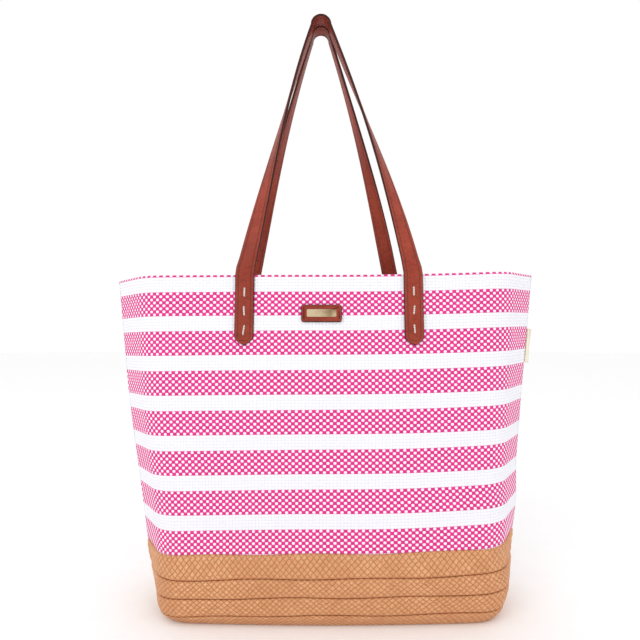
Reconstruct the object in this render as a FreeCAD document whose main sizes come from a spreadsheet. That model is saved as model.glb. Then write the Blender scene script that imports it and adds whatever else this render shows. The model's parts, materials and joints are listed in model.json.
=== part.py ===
import FreeCAD, Part
import math
import os

import Sketcher

V = FreeCAD.Vector

# A woven straw beach tote in millimetres: +Z up, the front towards -Y, the
# origin on the floor under the middle of the base. The wall is described by
# five level outlines, and every layer of it (weave, lining, braid, hem) is the
# loft of those outlines moved in or out by a stated inset.

DIMENSIONS = {
    # heights of the five outlines above the floor
    "z_floor": 0, "z_bend": 15, "z_braid": 84, "z_belly": 250, "z_rim": 390,
    # half width at the side seam
    "seam_floor": 190, "seam_bend": 202, "seam_braid": 226.4, "seam_belly": 241.5,
    "seam_rim": 254,
    # angle in degrees between the side face and the seam-to-seam chord
    "side_floor": 78, "side_bend": 75, "side_braid": 60, "side_belly": 54, "side_rim": 48,
    # radius of the rounded corner between front and side
    "corner_floor": 28, "corner_bend": 34, "corner_braid": 45, "corner_belly": 50,
    "corner_rim": 50,
    # radius of the bulging front, nearly flat at the rim
    "bulge_floor": 2500, "bulge_bend": 2500, "bulge_braid": 1500, "bulge_belly": 1250,
    "bulge_rim": 6000,
    # half depth at the middle of the front
    "depth_floor": 62, "depth_bend": 71, "depth_braid": 74.5, "depth_belly": 74,
    "depth_rim": 58.5,
    "least_corner": 2, "seam_gap": 0.1,
    # layers of the wall
    "weave_thick": 1.4, "lining_inset": 2.5, "lining_thick": 0.5,
    "hem_height": 38, "braid_thick": 2.6, "braid_lap": 4, "skin_gap": 0.1,
    "row_2_top": 56.3, "row_3_top": 35.3, "row_4_top": 15, "base_ring_wide": 20.5,
    "board_inset": 5, "board_z": 2.8, "board_thick": 2, "floor_lining_z": 5,
    "backer_inset": 1.6, "backer_thick": 0.7,
    # straps
    "strap_wide": 20, "strap_thick": 3, "strap_x": 94, "strap_rise": 312.5,
    "strap_bow": 5, "strap_bond": 0.04, "apex_bend": 11, "apex_y": 11, "loop_lift": 2.5,
    "tab_wide": 21.5, "tab_long": 79, "tab_point": 9, "tab_drop": 0.5,
    "stitch_long": 12.4, "stitch_wide": 2.2, "stitch_thick": 1.1, "stitch_round": 1.05,
    "stitch_gap": 0.3, "stitch_pitch": 21.3, "stitch_drop": 20,
    "backer_wide": 28, "backer_long": 86,
    # badge on the front
    "badge_x": -5, "badge_z": 346, "badge_wide": 45, "badge_high": 19.6,
    "badge_corner": 3, "badge_thick": 2.4, "plate_wide": 32.7, "plate_high": 8.6,
    "plate_thick": 1.2, "plate_corner": 1.2, "prong_spread": 22, "prong_dia": 1.6,
    "prong_hole": 2.2, "washer_dia": 5, "washer_thick": 0.5,
    # magnetic snap at the middle of the rim
    "snap_z": 371, "snap_dia": 18, "socket_thick": 3, "stud_base": 1.6,
    "stud_dia": 6, "stud_tall": 1.8, "snap_hole": 6.6, "snap_washer_dia": 20,
    "snap_washer_thick": 0.6, "snap_gap": 0.35, "stud_play": 0.4, "boss_dia": 5.8,
    "boss_long": 2.1, "socket_floor": 1,
    # pockets and the zip
    "slip_wide": 190, "slip_low": 190, "slip_high": 315, "slip_thick": 0.6,
    "zip_z": 300, "zip_half": 90, "tape_high": 11, "tape_thick": 0.6,
    "coil_high": 2, "coil_thick": 1.8, "coil_end": 4, "zip_split": 0.3,
    "stop_long": 3, "stop_high": 6, "zip_gap": 0.3, "zip_rise": 16,
    "welt_wide": 8, "welt_lap": 4, "window_high": 13.6, "welt_thick": 0.8,
    "pouch_wide": 196, "pouch_deep": 150,
    "slider_long": 10, "slider_wall": 1, "slider_play": 0.3, "slider_lift": 0.2,
    "slider_start": 1, "slider_round": 1.2, "lug_long": 3, "lug_out": 3.6, "lug_high": 2,
    "lug_eye": 1.3, "pin_dia": 1.4, "pin_play": 0.2,
    "pull_long": 26, "pull_high": 7, "pull_thick": 1.2, "pull_end": 1.5,
    "fork_long": 4, "fork_high": 4,
    # folded label in the right side seam
    "label_z": 310, "label_high": 42, "label_out": 14, "label_thick": 0.8,
    "label_root": 1, "label_turn": 50,
}

LEVELS = ("floor", "bend", "braid", "belly", "rim")
LEG_SECTIONS = 9     # strap cross-sections from the rim to the bend at the top
APEX_SECTIONS = 5    # strap cross-sections round half of the top bend
PROFILE_REACH = 400  # long enough to cut through the whole bag
DRILL_REACH = 60     # long enough to cut through one wall

doc = FreeCAD.newDocument("BeachTote")
sheet = doc.addObject("Spreadsheet::Sheet", "Dims")
for row, (alias, value) in enumerate(DIMENSIONS.items(), start=1):
    sheet.set(f"A{row}", alias)
    sheet.set(f"B{row}", str(value))
    sheet.setAlias(f"B{row}", alias)
doc.recompute()

finished = {}


def dim(alias):
    """A driving dimension's value from the sheet, in millimetres or degrees."""
    return float(getattr(sheet, alias))


def worth(formula):
    """Value of an expression over the driving dimensions."""
    return float(sheet.evalExpression(formula))


def keep(obj, node):
    """Marks obj as the finished sub-part called node."""
    obj.Label = node
    finished[node] = obj
    return obj


def bind(obj, **expressions):
    """Binds properties to sheet expressions; a double underscore stands for a dot."""
    for name, expression in expressions.items():
        obj.setExpression(name.replace("__", "."), expression)
    return obj


# ---------------------------------------------------------------- wall layers

def outline_sketch(name, level, inset, expression):
    """Half outline of the bag at one level: chord, side, corner, front, corner, side."""
    seam = dim(f"seam_{level}") - inset / math.sin(math.radians(dim(f"side_{level}")))
    angle = math.radians(dim(f"side_{level}"))
    corner = max(dim(f"corner_{level}") - inset, dim("least_corner"))
    bulge = dim(f"bulge_{level}") - inset
    depth = dim(f"depth_{level}") - inset
    along = V(-math.cos(angle), -math.sin(angle), 0)
    inward = V(-math.sin(angle), math.cos(angle), 0)
    bulge_centre = V(0, bulge - depth, 0)
    reach = V(seam, 0, 0) + inward * corner - bulge_centre
    half = reach.dot(along)
    run = -half + math.sqrt(half ** 2 - reach.dot(reach) + (bulge - corner) ** 2)
    side_end = V(seam, 0, 0) + along * run
    corner_centre = side_end + inward * corner
    out = (corner_centre - bulge_centre).normalize()
    bulge_half = math.atan2(out.x, -out.y)
    turn = angle - math.pi / 2

    def flip(p):
        return V(-p.x, p.y, 0)

    def arc(centre, radius, start, end):
        return Part.ArcOfCircle(Part.Circle(centre, V(0, 0, 1), radius), start, end)

    down = -math.pi / 2
    sketch = doc.addObject("Sketcher::SketchObject", name)
    sketch.addGeometry([
        Part.LineSegment(V(-seam, 0, 0), V(seam, 0, 0)),
        Part.LineSegment(side_end, V(seam, 0, 0)),
        arc(corner_centre, corner, down + bulge_half, turn),
        arc(bulge_centre, bulge, down - bulge_half, down + bulge_half),
        arc(flip(corner_centre), corner, math.pi - turn, -down * 3 - bulge_half),
        Part.LineSegment(flip(side_end), V(-seam, 0, 0)),
    ], False)
    chord, right, corner_r, front, corner_l, left = range(6)
    rule = Sketcher.Constraint
    sketch.addConstraint([
        rule("PointOnObject", chord, 1, -1),
        rule("Symmetric", chord, 1, chord, 2, -1, 1),
        rule("Coincident", right, 2, chord, 2),
        rule("Tangent", corner_r, 2, right, 1),
        rule("Tangent", front, 2, corner_r, 1),
        rule("PointOnObject", front, 3, -2),
        rule("Coincident", left, 2, chord, 1),
        rule("Symmetric", right, 1, left, 1, -2),
        rule("Tangent", corner_l, 1, left, 1),
        rule("Tangent", corner_l, 2, front, 1),
    ])
    sized = {
        "seam": (rule("DistanceX", -1, 1, chord, 2, seam),
                 f"Dims.seam_{level} - ({expression}) / sin(Dims.side_{level})"),
        "side": (rule("Angle", right, angle), f"Dims.side_{level} * 1 deg"),
        "corner": (rule("Radius", corner_r, corner),
                   f"max(Dims.corner_{level} - ({expression}); Dims.least_corner)"),
        "bulge": (rule("Radius", front, bulge), f"Dims.bulge_{level} - ({expression})"),
        "middle": (rule("DistanceY", -1, 1, front, 3, bulge - depth),
                   f"Dims.bulge_{level} - Dims.depth_{level}"),
    }
    for label, (constraint, formula) in sized.items():
        index = sketch.addConstraint(constraint)
        sketch.renameConstraint(index, label)
        sketch.setExpression(f"Constraints.{label}", formula)
    return bind(sketch, Placement__Base__z=f"Dims.z_{level}")


def envelope(name, inset):
    """Front half of the bag as a closed solid, its outside moved in by an expression."""
    start = worth(inset)
    loft = doc.addObject("Part::Loft", f"Envelope_{name}")
    loft.Sections = [
        outline_sketch(f"Outline_{name}_{level}", level, start, inset) for level in LEVELS
    ]
    loft.Solid = True
    loft.Ruled = True
    return loft


def box(name, low, high):
    """A box between two corners, each three expressions or numbers."""
    made = doc.addObject("Part::Box", name)
    for axis, start, end, side in zip("xyz", low, high, ("Length", "Width", "Height")):
        made.setExpression(f"Placement.Base.{axis}", f"{start}")
        made.setExpression(side, f"({end}) - ({start})")
    return made


def cut(name, base, tool):
    made = doc.addObject("Part::Cut", name)
    made.Base, made.Tool = base, tool
    return made


def common(name, base, tool):
    made = doc.addObject("Part::Common", name)
    made.Base, made.Tool = base, tool
    return made


def fuse(name, shapes):
    made = doc.addObject("Part::MultiFuse", name)
    made.Shapes = shapes
    return made


def compound(name, links):
    made = doc.addObject("Part::Compound", name)
    made.Links = links
    return made


def mirrored(name, source):
    """The same piece on the rear of the bag."""
    made = doc.addObject("Part::Mirroring", name)
    made.Source = source
    made.Base = V(0, 0, 0)
    made.Normal = V(0, 1, 0)
    return made


def slab(name, low, high, near="Dims.seam_gap / 2"):
    """Everything on the front half between two heights, clear of the side seam."""
    return box(name, (-PROFILE_REACH, -PROFILE_REACH, low),
               (PROFILE_REACH, f"-({near})", high))


LINED = "Dims.lining_inset + Dims.lining_thick"
LAYER_INSETS = {
    "weave_out": "Dims.z_floor",
    "weave_in": "Dims.weave_thick",
    "backer_out": "Dims.backer_inset",
    "backer_in": "Dims.backer_inset + Dims.backer_thick",
    "lining_out": "Dims.lining_inset",
    "lining_in": LINED,
    "slip_out": f"{LINED} + Dims.skin_gap",
    "slip_in": f"{LINED} + Dims.skin_gap + Dims.slip_thick",
    "hem_in": "Dims.lining_inset + Dims.weave_thick",
    "braid_in": "-Dims.skin_gap",
    "braid_out": "-Dims.skin_gap - Dims.braid_thick",
    "strap_in": "-Dims.skin_gap",
    "strap_out": "-Dims.skin_gap - Dims.strap_thick",
    "badge_out": "-Dims.skin_gap - Dims.badge_thick",
}
layer = {name: envelope(name, formula) for name, formula in LAYER_INSETS.items()}


def front_profile(name, sketch):
    """A sketch drawn on the front plane, pushed through the front half of the bag."""
    made = doc.addObject("Part::Extrusion", name)
    made.Base = sketch
    made.DirMode = "Custom"
    made.Dir = V(0, -1, 0)
    made.LengthFwd = PROFILE_REACH
    made.Solid = True
    return made


def front_sketch(name):
    """A sketch on the XZ plane, its own X along +X and its own Y along +Z."""
    sketch = doc.addObject("Sketcher::SketchObject", name)
    sketch.Placement = FreeCAD.Placement(V(0, 0, 0), FreeCAD.Rotation(V(1, 0, 0), 90))
    return sketch


def rounded_rectangle(sketch, wide, high, corner, at=(0, 0), names=None):
    """Adds a rounded rectangle centred on at; names gives the expressions that size it."""
    x, y = at
    w, h, r = wide / 2, high / 2, corner
    centres = [(x + w - r, y + h - r), (x - w + r, y + h - r),
               (x - w + r, y - h + r), (x + w - r, y - h + r)]
    first = sketch.GeometryCount
    arcs, lines = [], []
    for k, (cx, cy) in enumerate(centres):
        circle = Part.Circle(V(cx, cy, 0), V(0, 0, 1), r)
        arcs.append(sketch.addGeometry(
            Part.ArcOfCircle(circle, k * math.pi / 2, (k + 1) * math.pi / 2), False))
    ends = [((x + w - r, y + h), (x - w + r, y + h)), ((x - w, y + h - r), (x - w, y - h + r)),
            ((x - w + r, y - h), (x + w - r, y - h)), ((x + w, y - h + r), (x + w, y + h - r))]
    for start, end in ends:
        lines.append(sketch.addGeometry(Part.LineSegment(V(*start, 0), V(*end, 0)), False))
    rule = Sketcher.Constraint
    for k in range(4):
        sketch.addConstraint(rule("Tangent", arcs[k], 2, lines[k], 1))
        sketch.addConstraint(rule("Tangent", lines[k], 2, arcs[(k + 1) % 4], 1))
    sketch.addConstraint(rule("Horizontal", lines[0]))
    sketch.addConstraint(rule("Vertical", lines[1]))
    sketch.addConstraint(rule("Equal", arcs[0], arcs[1]))
    sketch.addConstraint(rule("Equal", arcs[0], arcs[2]))
    sketch.addConstraint(rule("Equal", arcs[0], arcs[3]))
    sized = [
        (rule("Radius", arcs[0], r), "corner"),
        (rule("DistanceX", lines[1], 1, lines[3], 1, wide), "wide"),
        (rule("DistanceY", lines[2], 1, lines[0], 2, high), "high"),
        (rule("DistanceX", -1, 1, lines[3], 1, x + w), "x"),
        (rule("DistanceY", -1, 1, lines[0], 1, y + h), "y"),
    ]
    for constraint, what in sized:
        index = sketch.addConstraint(constraint)
        if names and what in names:
            label = f"{what}_{first}"
            sketch.renameConstraint(index, label)
            sketch.setExpression(f"Constraints.{label}", names[what])
    return sketch


# ------------------------------------------------------- woven shell and lining

def bore_through(name, radius, x, z):
    """A long drill square to the front wall at x and height z, centred on the wall."""
    drill = bind(doc.addObject("Part::Cylinder", name), Radius=radius)
    drill.Height = DRILL_REACH
    centred = FreeCAD.Placement(V(0, DRILL_REACH / 2, 0), FreeCAD.Rotation(V(1, 0, 0), 90))
    drill.Placement = on_front(x, z, 0).multiply(centred)
    return drill


def make_woven_panels():
    """Front and rear straw panels, each one piece with its folded hem at the rim."""
    wall = common("Weave_wall", cut("Weave_skin", layer["weave_out"], layer["weave_in"]),
                  slab("Weave_zone", "Dims.z_braid - Dims.braid_lap", "Dims.z_rim"))
    hem = common("Hem_wall", cut("Hem_skin", layer["lining_out"], layer["hem_in"]),
                 slab("Hem_zone", "Dims.z_rim - Dims.hem_height", "Dims.z_rim"))
    fold = common("Rim_fold", cut("Rim_skin", layer["weave_out"], layer["hem_in"]),
                  slab("Rim_zone", "Dims.z_rim - Dims.weave_thick", "Dims.z_rim"))
    folded = fuse("Folded_panel", [wall, hem, fold])
    snap_bore = bore_through("Snap_bore", "Dims.snap_hole / 2", 0, dim("snap_z"))
    inner_bore = common("Snap_bore_inside", snap_bore, layer["backer_in"])
    hem_bored = cut("Hem_bored", folded, inner_bore)
    prong_bores = [
        bore_through("Prong_bore", "Dims.prong_hole / 2",
                     worth(f"Dims.badge_x + {side} * Dims.prong_spread / 2"), dim("badge_z"))
        for side in (-1, 1)
    ]
    bores = fuse("Prong_bores", prong_bores)
    outer_bores = cut("Prong_bores_outside", bores, layer["backer_in"])
    keep(cut("Front_panel", hem_bored, outer_bores), "front_panel")
    keep(mirrored("Rear_panel", hem_bored), "rear_panel")
    return bores


def make_lining():
    """Cloth lining inside the weave, one sheet a side and one for the floor."""
    skin = common("Lining_wall", cut("Lining_skin", layer["lining_out"], layer["lining_in"]),
                  slab("Lining_zone", "Dims.floor_lining_z",
                       "Dims.z_rim - Dims.hem_height - Dims.skin_gap"))
    keep(skin, "lining_front")
    keep(mirrored("Lining_rear", skin), "lining_rear")
    half = common("Lining_floor_half", layer["slip_out"],
                  slab("Lining_floor_zone", "Dims.floor_lining_z",
                       "Dims.floor_lining_z + Dims.lining_thick", "0"))
    keep(fuse("Lining_floor", [half, mirrored("Lining_floor_rear", half)]), "lining_floor")


def make_braid_rows():
    """Four rows of flat straw braid round the foot of the bag, lowest one last."""
    tops = ("Dims.z_braid", "Dims.row_2_top", "Dims.row_3_top", "Dims.row_4_top")
    bottoms = tops[1:] + ("Dims.z_floor",)
    skin = cut("Braid_skin", layer["braid_out"], layer["braid_in"])
    for number, (top, bottom) in enumerate(zip(tops, bottoms), start=1):
        lift = "0" if number == 4 else "Dims.skin_gap"
        half = common(f"Braid_half_{number}", skin,
                      slab(f"Braid_zone_{number}", f"{bottom} + {lift}", top, "0"))
        ring = fuse(f"Braid_row_{number}", [half, mirrored(f"Braid_back_{number}", half)])
        keep(ring, f"braid_row_{number}")


def make_base():
    """Three flat braid rings under the bag, and the stiff board that lies on them."""
    names = ("outer", "middle", "centre")
    inset = "Dims.skin_gap"
    for name in names:
        half = common(f"Base_half_{name}", envelope(f"base_{name}", inset),
                      slab(f"Base_zone_{name}", "Dims.z_floor", "Dims.braid_thick", "0"))
        outer = half
        inset += " + Dims.base_ring_wide"
        if name != "centre":
            hole = envelope(f"base_{name}_hole", inset)
            outer = cut(f"Base_ring_half_{name}", half, hole)
        inset += " + Dims.skin_gap"
        whole = fuse(f"Base_{name}", [outer, mirrored(f"Base_back_{name}", outer)])
        keep(whole, f"base_braid_{name}")
    board = common("Board_half", envelope("board", "Dims.board_inset"),
                   slab("Board_zone", "Dims.board_z", "Dims.board_z + Dims.board_thick", "0"))
    keep(fuse("Board", [board, mirrored("Board_rear", board)]), "base_board")


# -------------------------------------------------------------------- PartDesign

def body_of(node):
    """An empty PartDesign body that becomes the sub-part called node."""
    return keep(doc.addObject("PartDesign::Body", node), node)


def body_sketch(body, plane):
    """A sketch on one of the body's own origin planes."""
    made = body.newObject("Sketcher::SketchObject", f"{body.Name}_sketch")
    support = [f for f in body.Origin.OriginFeatures if f.Role == plane][0]
    made.AttachmentSupport = [(support, "")]
    made.MapMode = "FlatFace"
    return made


def pad(body, sketch, length, midplane=False, reverse=False):
    made = body.newObject("PartDesign::Pad", f"{body.Name}_pad")
    made.Profile = sketch
    made.Midplane = midplane
    made.Reversed = reverse
    return bind(made, Length=length)


def disc(sketch, diameter, formula, at=(0, 0)):
    """Adds a full circle whose diameter follows formula."""
    index = sketch.addGeometry(Part.Circle(V(*at, 0), V(0, 0, 1), diameter / 2), False)
    sketch.addConstraint(Sketcher.Constraint("DistanceX", -1, 1, index, 3, at[0]))
    sketch.addConstraint(Sketcher.Constraint("DistanceY", -1, 1, index, 3, at[1]))
    size = sketch.addConstraint(Sketcher.Constraint("Diameter", index, diameter))
    sketch.renameConstraint(size, f"dia_{index}")
    sketch.setExpression(f"Constraints.dia_{index}", formula)


def wall_offset(x, z, inset):
    """Distance of the front wall from the XZ plane at x and height z."""
    low = max((level for level in LEVELS[:-1] if dim(f"z_{level}") <= z),
              key=lambda level: dim(f"z_{level}"))
    high = LEVELS[LEVELS.index(low) + 1]
    start, end = (dim(f"depth_{level}") - x ** 2 / (2 * dim(f"bulge_{level}"))
                  for level in (low, high))
    share = (z - dim(f"z_{low}")) / (dim(f"z_{high}") - dim(f"z_{low}"))
    return start + share * (end - start) - inset


def lean(x, z):
    """Angle in degrees by which the front wall leans back at x and height z."""
    step = 0.5
    fall = wall_offset(x, z - step, 0) - wall_offset(x, z + step, 0)
    return math.degrees(math.atan2(fall, 2 * step))


def on_front(x, z, inset):
    """A placement on the front wall: local X across, local Z up the wall, -Y outwards."""
    return FreeCAD.Placement(V(x, -wall_offset(x, z, inset), z),
                             FreeCAD.Rotation(V(1, 0, 0), -lean(x, z)))


def on_rear(x, z, inset):
    """The same on the rear wall, with +Y outwards."""
    return FreeCAD.Placement(V(x, wall_offset(x, z, inset), z),
                             FreeCAD.Rotation(V(1, 0, 0), lean(x, z)))


# --------------------------------------------------------------- handles and tabs

def tab_outline(name, sign, wide, long, top):
    """Strap end: straight sides down from a top edge and a blunt point at the bottom."""
    sketch = front_sketch(name)
    x, high, low = sign * dim("strap_x"), worth(top), worth(f"{top} - {long}")
    half, shoulder = worth(wide) / 2, worth(f"{top} - {long} + Dims.tab_point")
    points = [V(x - half, high, 0), V(x - half, shoulder, 0), V(x - half / 3, low, 0),
              V(x + half / 3, low, 0), V(x + half, shoulder, 0), V(x + half, high, 0)]
    count = len(points)
    sketch.addGeometry([Part.LineSegment(points[k], points[(k + 1) % count])
                        for k in range(count)], False)
    rule = Sketcher.Constraint
    for k in range(count):
        sketch.addConstraint(rule("Coincident", k, 2, (k + 1) % count, 1))
    for k in (0, 4):
        sketch.addConstraint(rule("Vertical", k))
    for k in (2, 5):
        sketch.addConstraint(rule("Horizontal", k))
    straight = f"{long} - Dims.tab_point"
    sized = [
        ("top", rule("DistanceY", -1, 1, 0, 1, high), top),
        ("left", rule("DistanceX", -1, 1, 0, 1, x - half),
         f"{sign} * Dims.strap_x - {wide} / 2"),
        ("wide", rule("DistanceX", 0, 1, 4, 2, 2 * half), wide),
        ("long", rule("DistanceY", 2, 1, 0, 1, high - low), long),
        ("left_side", rule("DistanceY", 0, 2, 0, 1, high - shoulder), straight),
        ("right_side", rule("DistanceY", 3, 2, 4, 2, high - shoulder), straight),
        ("blunt", rule("DistanceX", 2, 1, 2, 2, 2 * half / 3), f"{wide} / 3"),
        ("slant", rule("DistanceX", 0, 1, 2, 1, 2 * half / 3), f"{wide} / 3"),
    ]
    for label, constraint, formula in sized:
        index = sketch.addConstraint(constraint)
        sketch.renameConstraint(index, label)
        sketch.setExpression(f"Constraints.{label}", formula)
    return sketch


def make_tabs():
    """The four sewn strap ends, the pads behind them and their thick hand stitches."""
    shell = cut("Tab_skin", layer["strap_out"], layer["strap_in"])
    backing = cut("Backer_skin", layer["backer_out"], layer["backer_in"])
    for side, sign in (("left", -1), ("right", 1)):
        outline = tab_outline(f"Tab_outline_{side}", sign, "Dims.tab_wide",
                              "Dims.tab_long", "Dims.z_rim - Dims.tab_drop")
        tab = common(f"Tab_{side}", front_profile(f"Tab_through_{side}", outline), shell)
        keep(tab, f"front_strap_end_{side}")
        keep(mirrored(f"Rear_tab_{side}", tab), f"rear_strap_end_{side}")
        wide = tab_outline(f"Backer_outline_{side}", sign, "Dims.backer_wide",
                           "Dims.backer_long",
                           "Dims.z_rim - Dims.weave_thick - Dims.tab_drop")
        backer = common(f"Backer_{side}", front_profile(f"Backer_through_{side}", wide),
                        backing)
        keep(backer, f"front_backer_{side}")
        keep(mirrored(f"Rear_backer_{side}", backer), f"rear_backer_{side}")
        stitches = make_hand_stitches(side, sign)
        keep(stitches, f"front_stitches_{side}")
        keep(mirrored(f"Rear_stitches_{side}", stitches), f"rear_stitches_{side}")


def make_hand_stitches(side, sign):
    """Three thick white thread stitches in a row down one strap end."""
    sketch = front_sketch(f"Stitch_outline_{side}")
    for number in range(3):
        drop = -dim("stitch_pitch") * number
        rounded_rectangle(
            sketch, dim("stitch_wide"), dim("stitch_long"), dim("stitch_round"),
            (0, drop), {"wide": "Dims.stitch_wide", "high": "Dims.stitch_long",
                        "corner": "Dims.stitch_round", "x": "Dims.stitch_wide / 2",
                        "y": f"Dims.stitch_long / 2 - Dims.stitch_pitch * {number}"})
    made = doc.addObject("Part::Extrusion", f"Stitches_{side}")
    made.Base = sketch
    made.DirMode = "Normal"
    made.Solid = True
    bind(made, LengthFwd="Dims.stitch_thick")
    x, z = sign * dim("strap_x"), dim("z_rim") - dim("stitch_drop")
    made.Placement = on_front(x, z, -worth("Dims.skin_gap + Dims.strap_thick + Dims.stitch_gap"))
    return made


def strap_station(share):
    """Centre, width direction and outward direction of the right leg; share runs 0 to 1."""
    rim = wall_offset(dim("strap_x"), dim("z_rim"), 0)
    root = V(dim("strap_x"), -rim - dim("skin_gap") - dim("strap_thick") / 2,
             dim("z_rim") + dim("loop_lift"))
    bend = dim("apex_bend")
    leg_end = V(bend, -dim("apex_y"), root.z + dim("strap_rise") - bend)
    leg_share = (LEG_SECTIONS - 1) / (LEG_SECTIONS + APEX_SECTIONS - 2)
    if share <= leg_share:
        t = share / leg_share
        centre = root + (leg_end - root) * t + V(dim("strap_bow") * 4 * t * (1 - t), 0, 0)
        slope = (leg_end - root) + V(dim("strap_bow") * 4 * (1 - 2 * t), 0, 0)
        tangent = slope.normalize()
    else:
        turn = (share - leg_share) / (1 - leg_share) * math.pi / 2
        centre = leg_end + V(bend * (math.cos(turn) - 1), 0, bend * math.sin(turn))
        tangent = V(-math.sin(turn), 0, math.cos(turn))
    twist = math.sin(min(1, share / leg_share) * math.pi / 2) * math.pi / 2
    inward = V(0, 1, 0)
    away = (inward - tangent * inward.dot(tangent)).normalize()
    flat = away.cross(tangent)
    width = flat * math.cos(twist) + away * math.sin(twist)
    return centre, width, width.cross(tangent)


def strap_section(name, share, sign, inner, outer):
    """A strap cross-section standing square to the path, between two depths of leather."""
    centre, width, out = strap_station(share)
    if sign < 0:
        centre, width, out = (V(-p.x, p.y, p.z) for p in (centre, width, out))
        width = width * -1
    wide, thick = dim("strap_wide"), outer - inner
    sketch = doc.addObject("Sketcher::SketchObject", name)
    rounded_rectangle(sketch, wide, thick, thick / 4, (0, (inner + outer) / 2),
                      {"wide": "Dims.strap_wide", "x": "Dims.strap_wide / 2"})
    along = width.cross(out)
    sketch.Placement = FreeCAD.Placement(centre, FreeCAD.Rotation(width, out, along, "ZXY"))
    return sketch


def make_handles():
    """Two strap loops, each a face leather and a backing leather bonded together."""
    half, bond = dim("strap_thick") / 2, dim("strap_bond") / 2
    steps = LEG_SECTIONS + APEX_SECTIONS - 2
    for layer_name, inner, outer in (("face", bond, half), ("backing", -half, -bond)):
        sections = [strap_section(f"Strap_{layer_name}_l{k}", k / steps, -1, inner, outer)
                    for k in range(steps + 1)]
        sections += [strap_section(f"Strap_{layer_name}_r{k}", k / steps, 1, inner, outer)
                     for k in range(steps - 1, -1, -1)]
        loft = doc.addObject("Part::Loft", f"Strap_{layer_name}")
        loft.Sections = sections
        loft.Solid = True
        loft.Ruled = True
        keep(loft, f"front_strap_{layer_name}")
        keep(mirrored(f"Rear_strap_{layer_name}", loft), f"rear_strap_{layer_name}")


# -------------------------------------------------------------------------- badge

def make_badge(bores):
    """Leather badge with a metal plate held by two prongs and washers."""
    shell = cut("Badge_skin", layer["badge_out"], layer["strap_in"])
    sketch = front_sketch("Badge_outline")
    rounded_rectangle(
        sketch, dim("badge_wide"), dim("badge_high"), dim("badge_corner"),
        (dim("badge_x"), dim("badge_z")),
        {"wide": "Dims.badge_wide", "high": "Dims.badge_high", "corner": "Dims.badge_corner",
         "x": "Dims.badge_x + Dims.badge_wide / 2", "y": "Dims.badge_z + Dims.badge_high / 2"})
    patch = common("Badge_patch_blank", front_profile("Badge_through", sketch), shell)
    keep(cut("Badge_patch", patch, bores), "badge_patch")
    out = -worth("Dims.badge_thick + Dims.skin_gap + Dims.stitch_gap")
    behind = worth("Dims.weave_thick + Dims.stitch_gap")
    plate = body_of("badge_plate")
    drawn = body_sketch(plate, "XZ_Plane")
    rounded_rectangle(drawn, dim("plate_wide"), dim("plate_high"), dim("plate_corner"),
                      (0, 0), {"wide": "Dims.plate_wide", "high": "Dims.plate_high",
                               "corner": "Dims.plate_corner", "x": "Dims.plate_wide / 2",
                               "y": "Dims.plate_high / 2"})
    pad(plate, drawn, "Dims.plate_thick")
    plate.Placement = on_front(dim("badge_x"), dim("badge_z"), out)
    pins = []
    for side in (-1, 1):
        x = dim("badge_x") + side * dim("prong_spread") / 2
        stem = bind(doc.addObject("Part::Cylinder", "Prong"), Radius="Dims.prong_dia / 2",
                    Height=f"{behind - out} + Dims.washer_thick")
        head = bind(doc.addObject("Part::Cylinder", "Prong_washer"),
                    Radius="Dims.washer_dia / 2", Height="Dims.washer_thick")
        for shape, start in ((stem, out), (head, behind)):
            rest = on_front(dim("badge_x"), dim("badge_z"), start)
            spin = FreeCAD.Placement(V(x - dim("badge_x"), 0, 0),
                                     FreeCAD.Rotation(V(1, 0, 0), -90))
            shape.Placement = rest.multiply(spin)
        pins.append(fuse("Prong_and_washer", [stem, head]))
    keep(compound("Badge_prongs", pins), "badge_prongs")


# --------------------------------------------------------------------------- snap

def make_snap():
    """Magnetic snap at the middle of the rim: socket in front, stud behind, two washers."""
    z = dim("snap_z")
    inside = worth("Dims.lining_inset + Dims.weave_thick + Dims.snap_gap")
    socket = body_of("snap_socket")
    plain_disc(socket, "Dims.snap_dia", "Dims.socket_floor", True)
    ring = body_sketch(socket, "XZ_Plane")
    disc(ring, dim("snap_dia"), "Dims.snap_dia")
    disc(ring, worth("Dims.stud_dia + 2 * Dims.stud_play"), "Dims.stud_dia + 2 * Dims.stud_play")
    pad(socket, ring, "Dims.socket_thick", reverse=True)
    plain_disc(socket, "Dims.boss_dia", "Dims.boss_long", False)
    socket.Placement = on_front(0, z, inside)
    stud = body_of("snap_stud")
    plain_disc(stud, "Dims.snap_dia", "Dims.stud_base", False)
    plain_disc(stud, "Dims.stud_dia", "Dims.stud_base + Dims.stud_tall", False)
    plain_disc(stud, "Dims.boss_dia", "Dims.boss_long", True)
    stud.Placement = on_rear(0, z, inside)
    behind = worth("Dims.backer_inset + Dims.snap_washer_thick / 2")
    for name, place in (("front", on_front(0, z, behind)), ("rear", on_rear(0, z, behind))):
        washer = body_of(f"snap_washer_{name}")
        drawn = body_sketch(washer, "XZ_Plane")
        disc(drawn, dim("snap_washer_dia"), "Dims.snap_washer_dia")
        disc(drawn, dim("snap_hole"), "Dims.snap_hole")
        pad(washer, drawn, "Dims.snap_washer_thick", midplane=True)
        washer.Placement = place


def plain_disc(body, diameter, height, rearward):
    """Pads a full disc on the body's XZ plane, towards the rear or the front."""
    drawn = body_sketch(body, "XZ_Plane")
    disc(drawn, worth(diameter), diameter)
    pad(body, drawn, height, reverse=rearward)


# ------------------------------------------------------------------------ pockets

def make_slip_pocket():
    """Open slip pocket sewn on the front lining."""
    skin = cut("Slip_skin", layer["slip_out"], layer["slip_in"])
    zone = box("Slip_zone", ("-Dims.slip_wide / 2", -PROFILE_REACH, "Dims.slip_low"),
               ("Dims.slip_wide / 2", -1, "Dims.slip_high"))
    keep(common("Slip_pocket", skin, zone), "slip_pocket")


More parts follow.
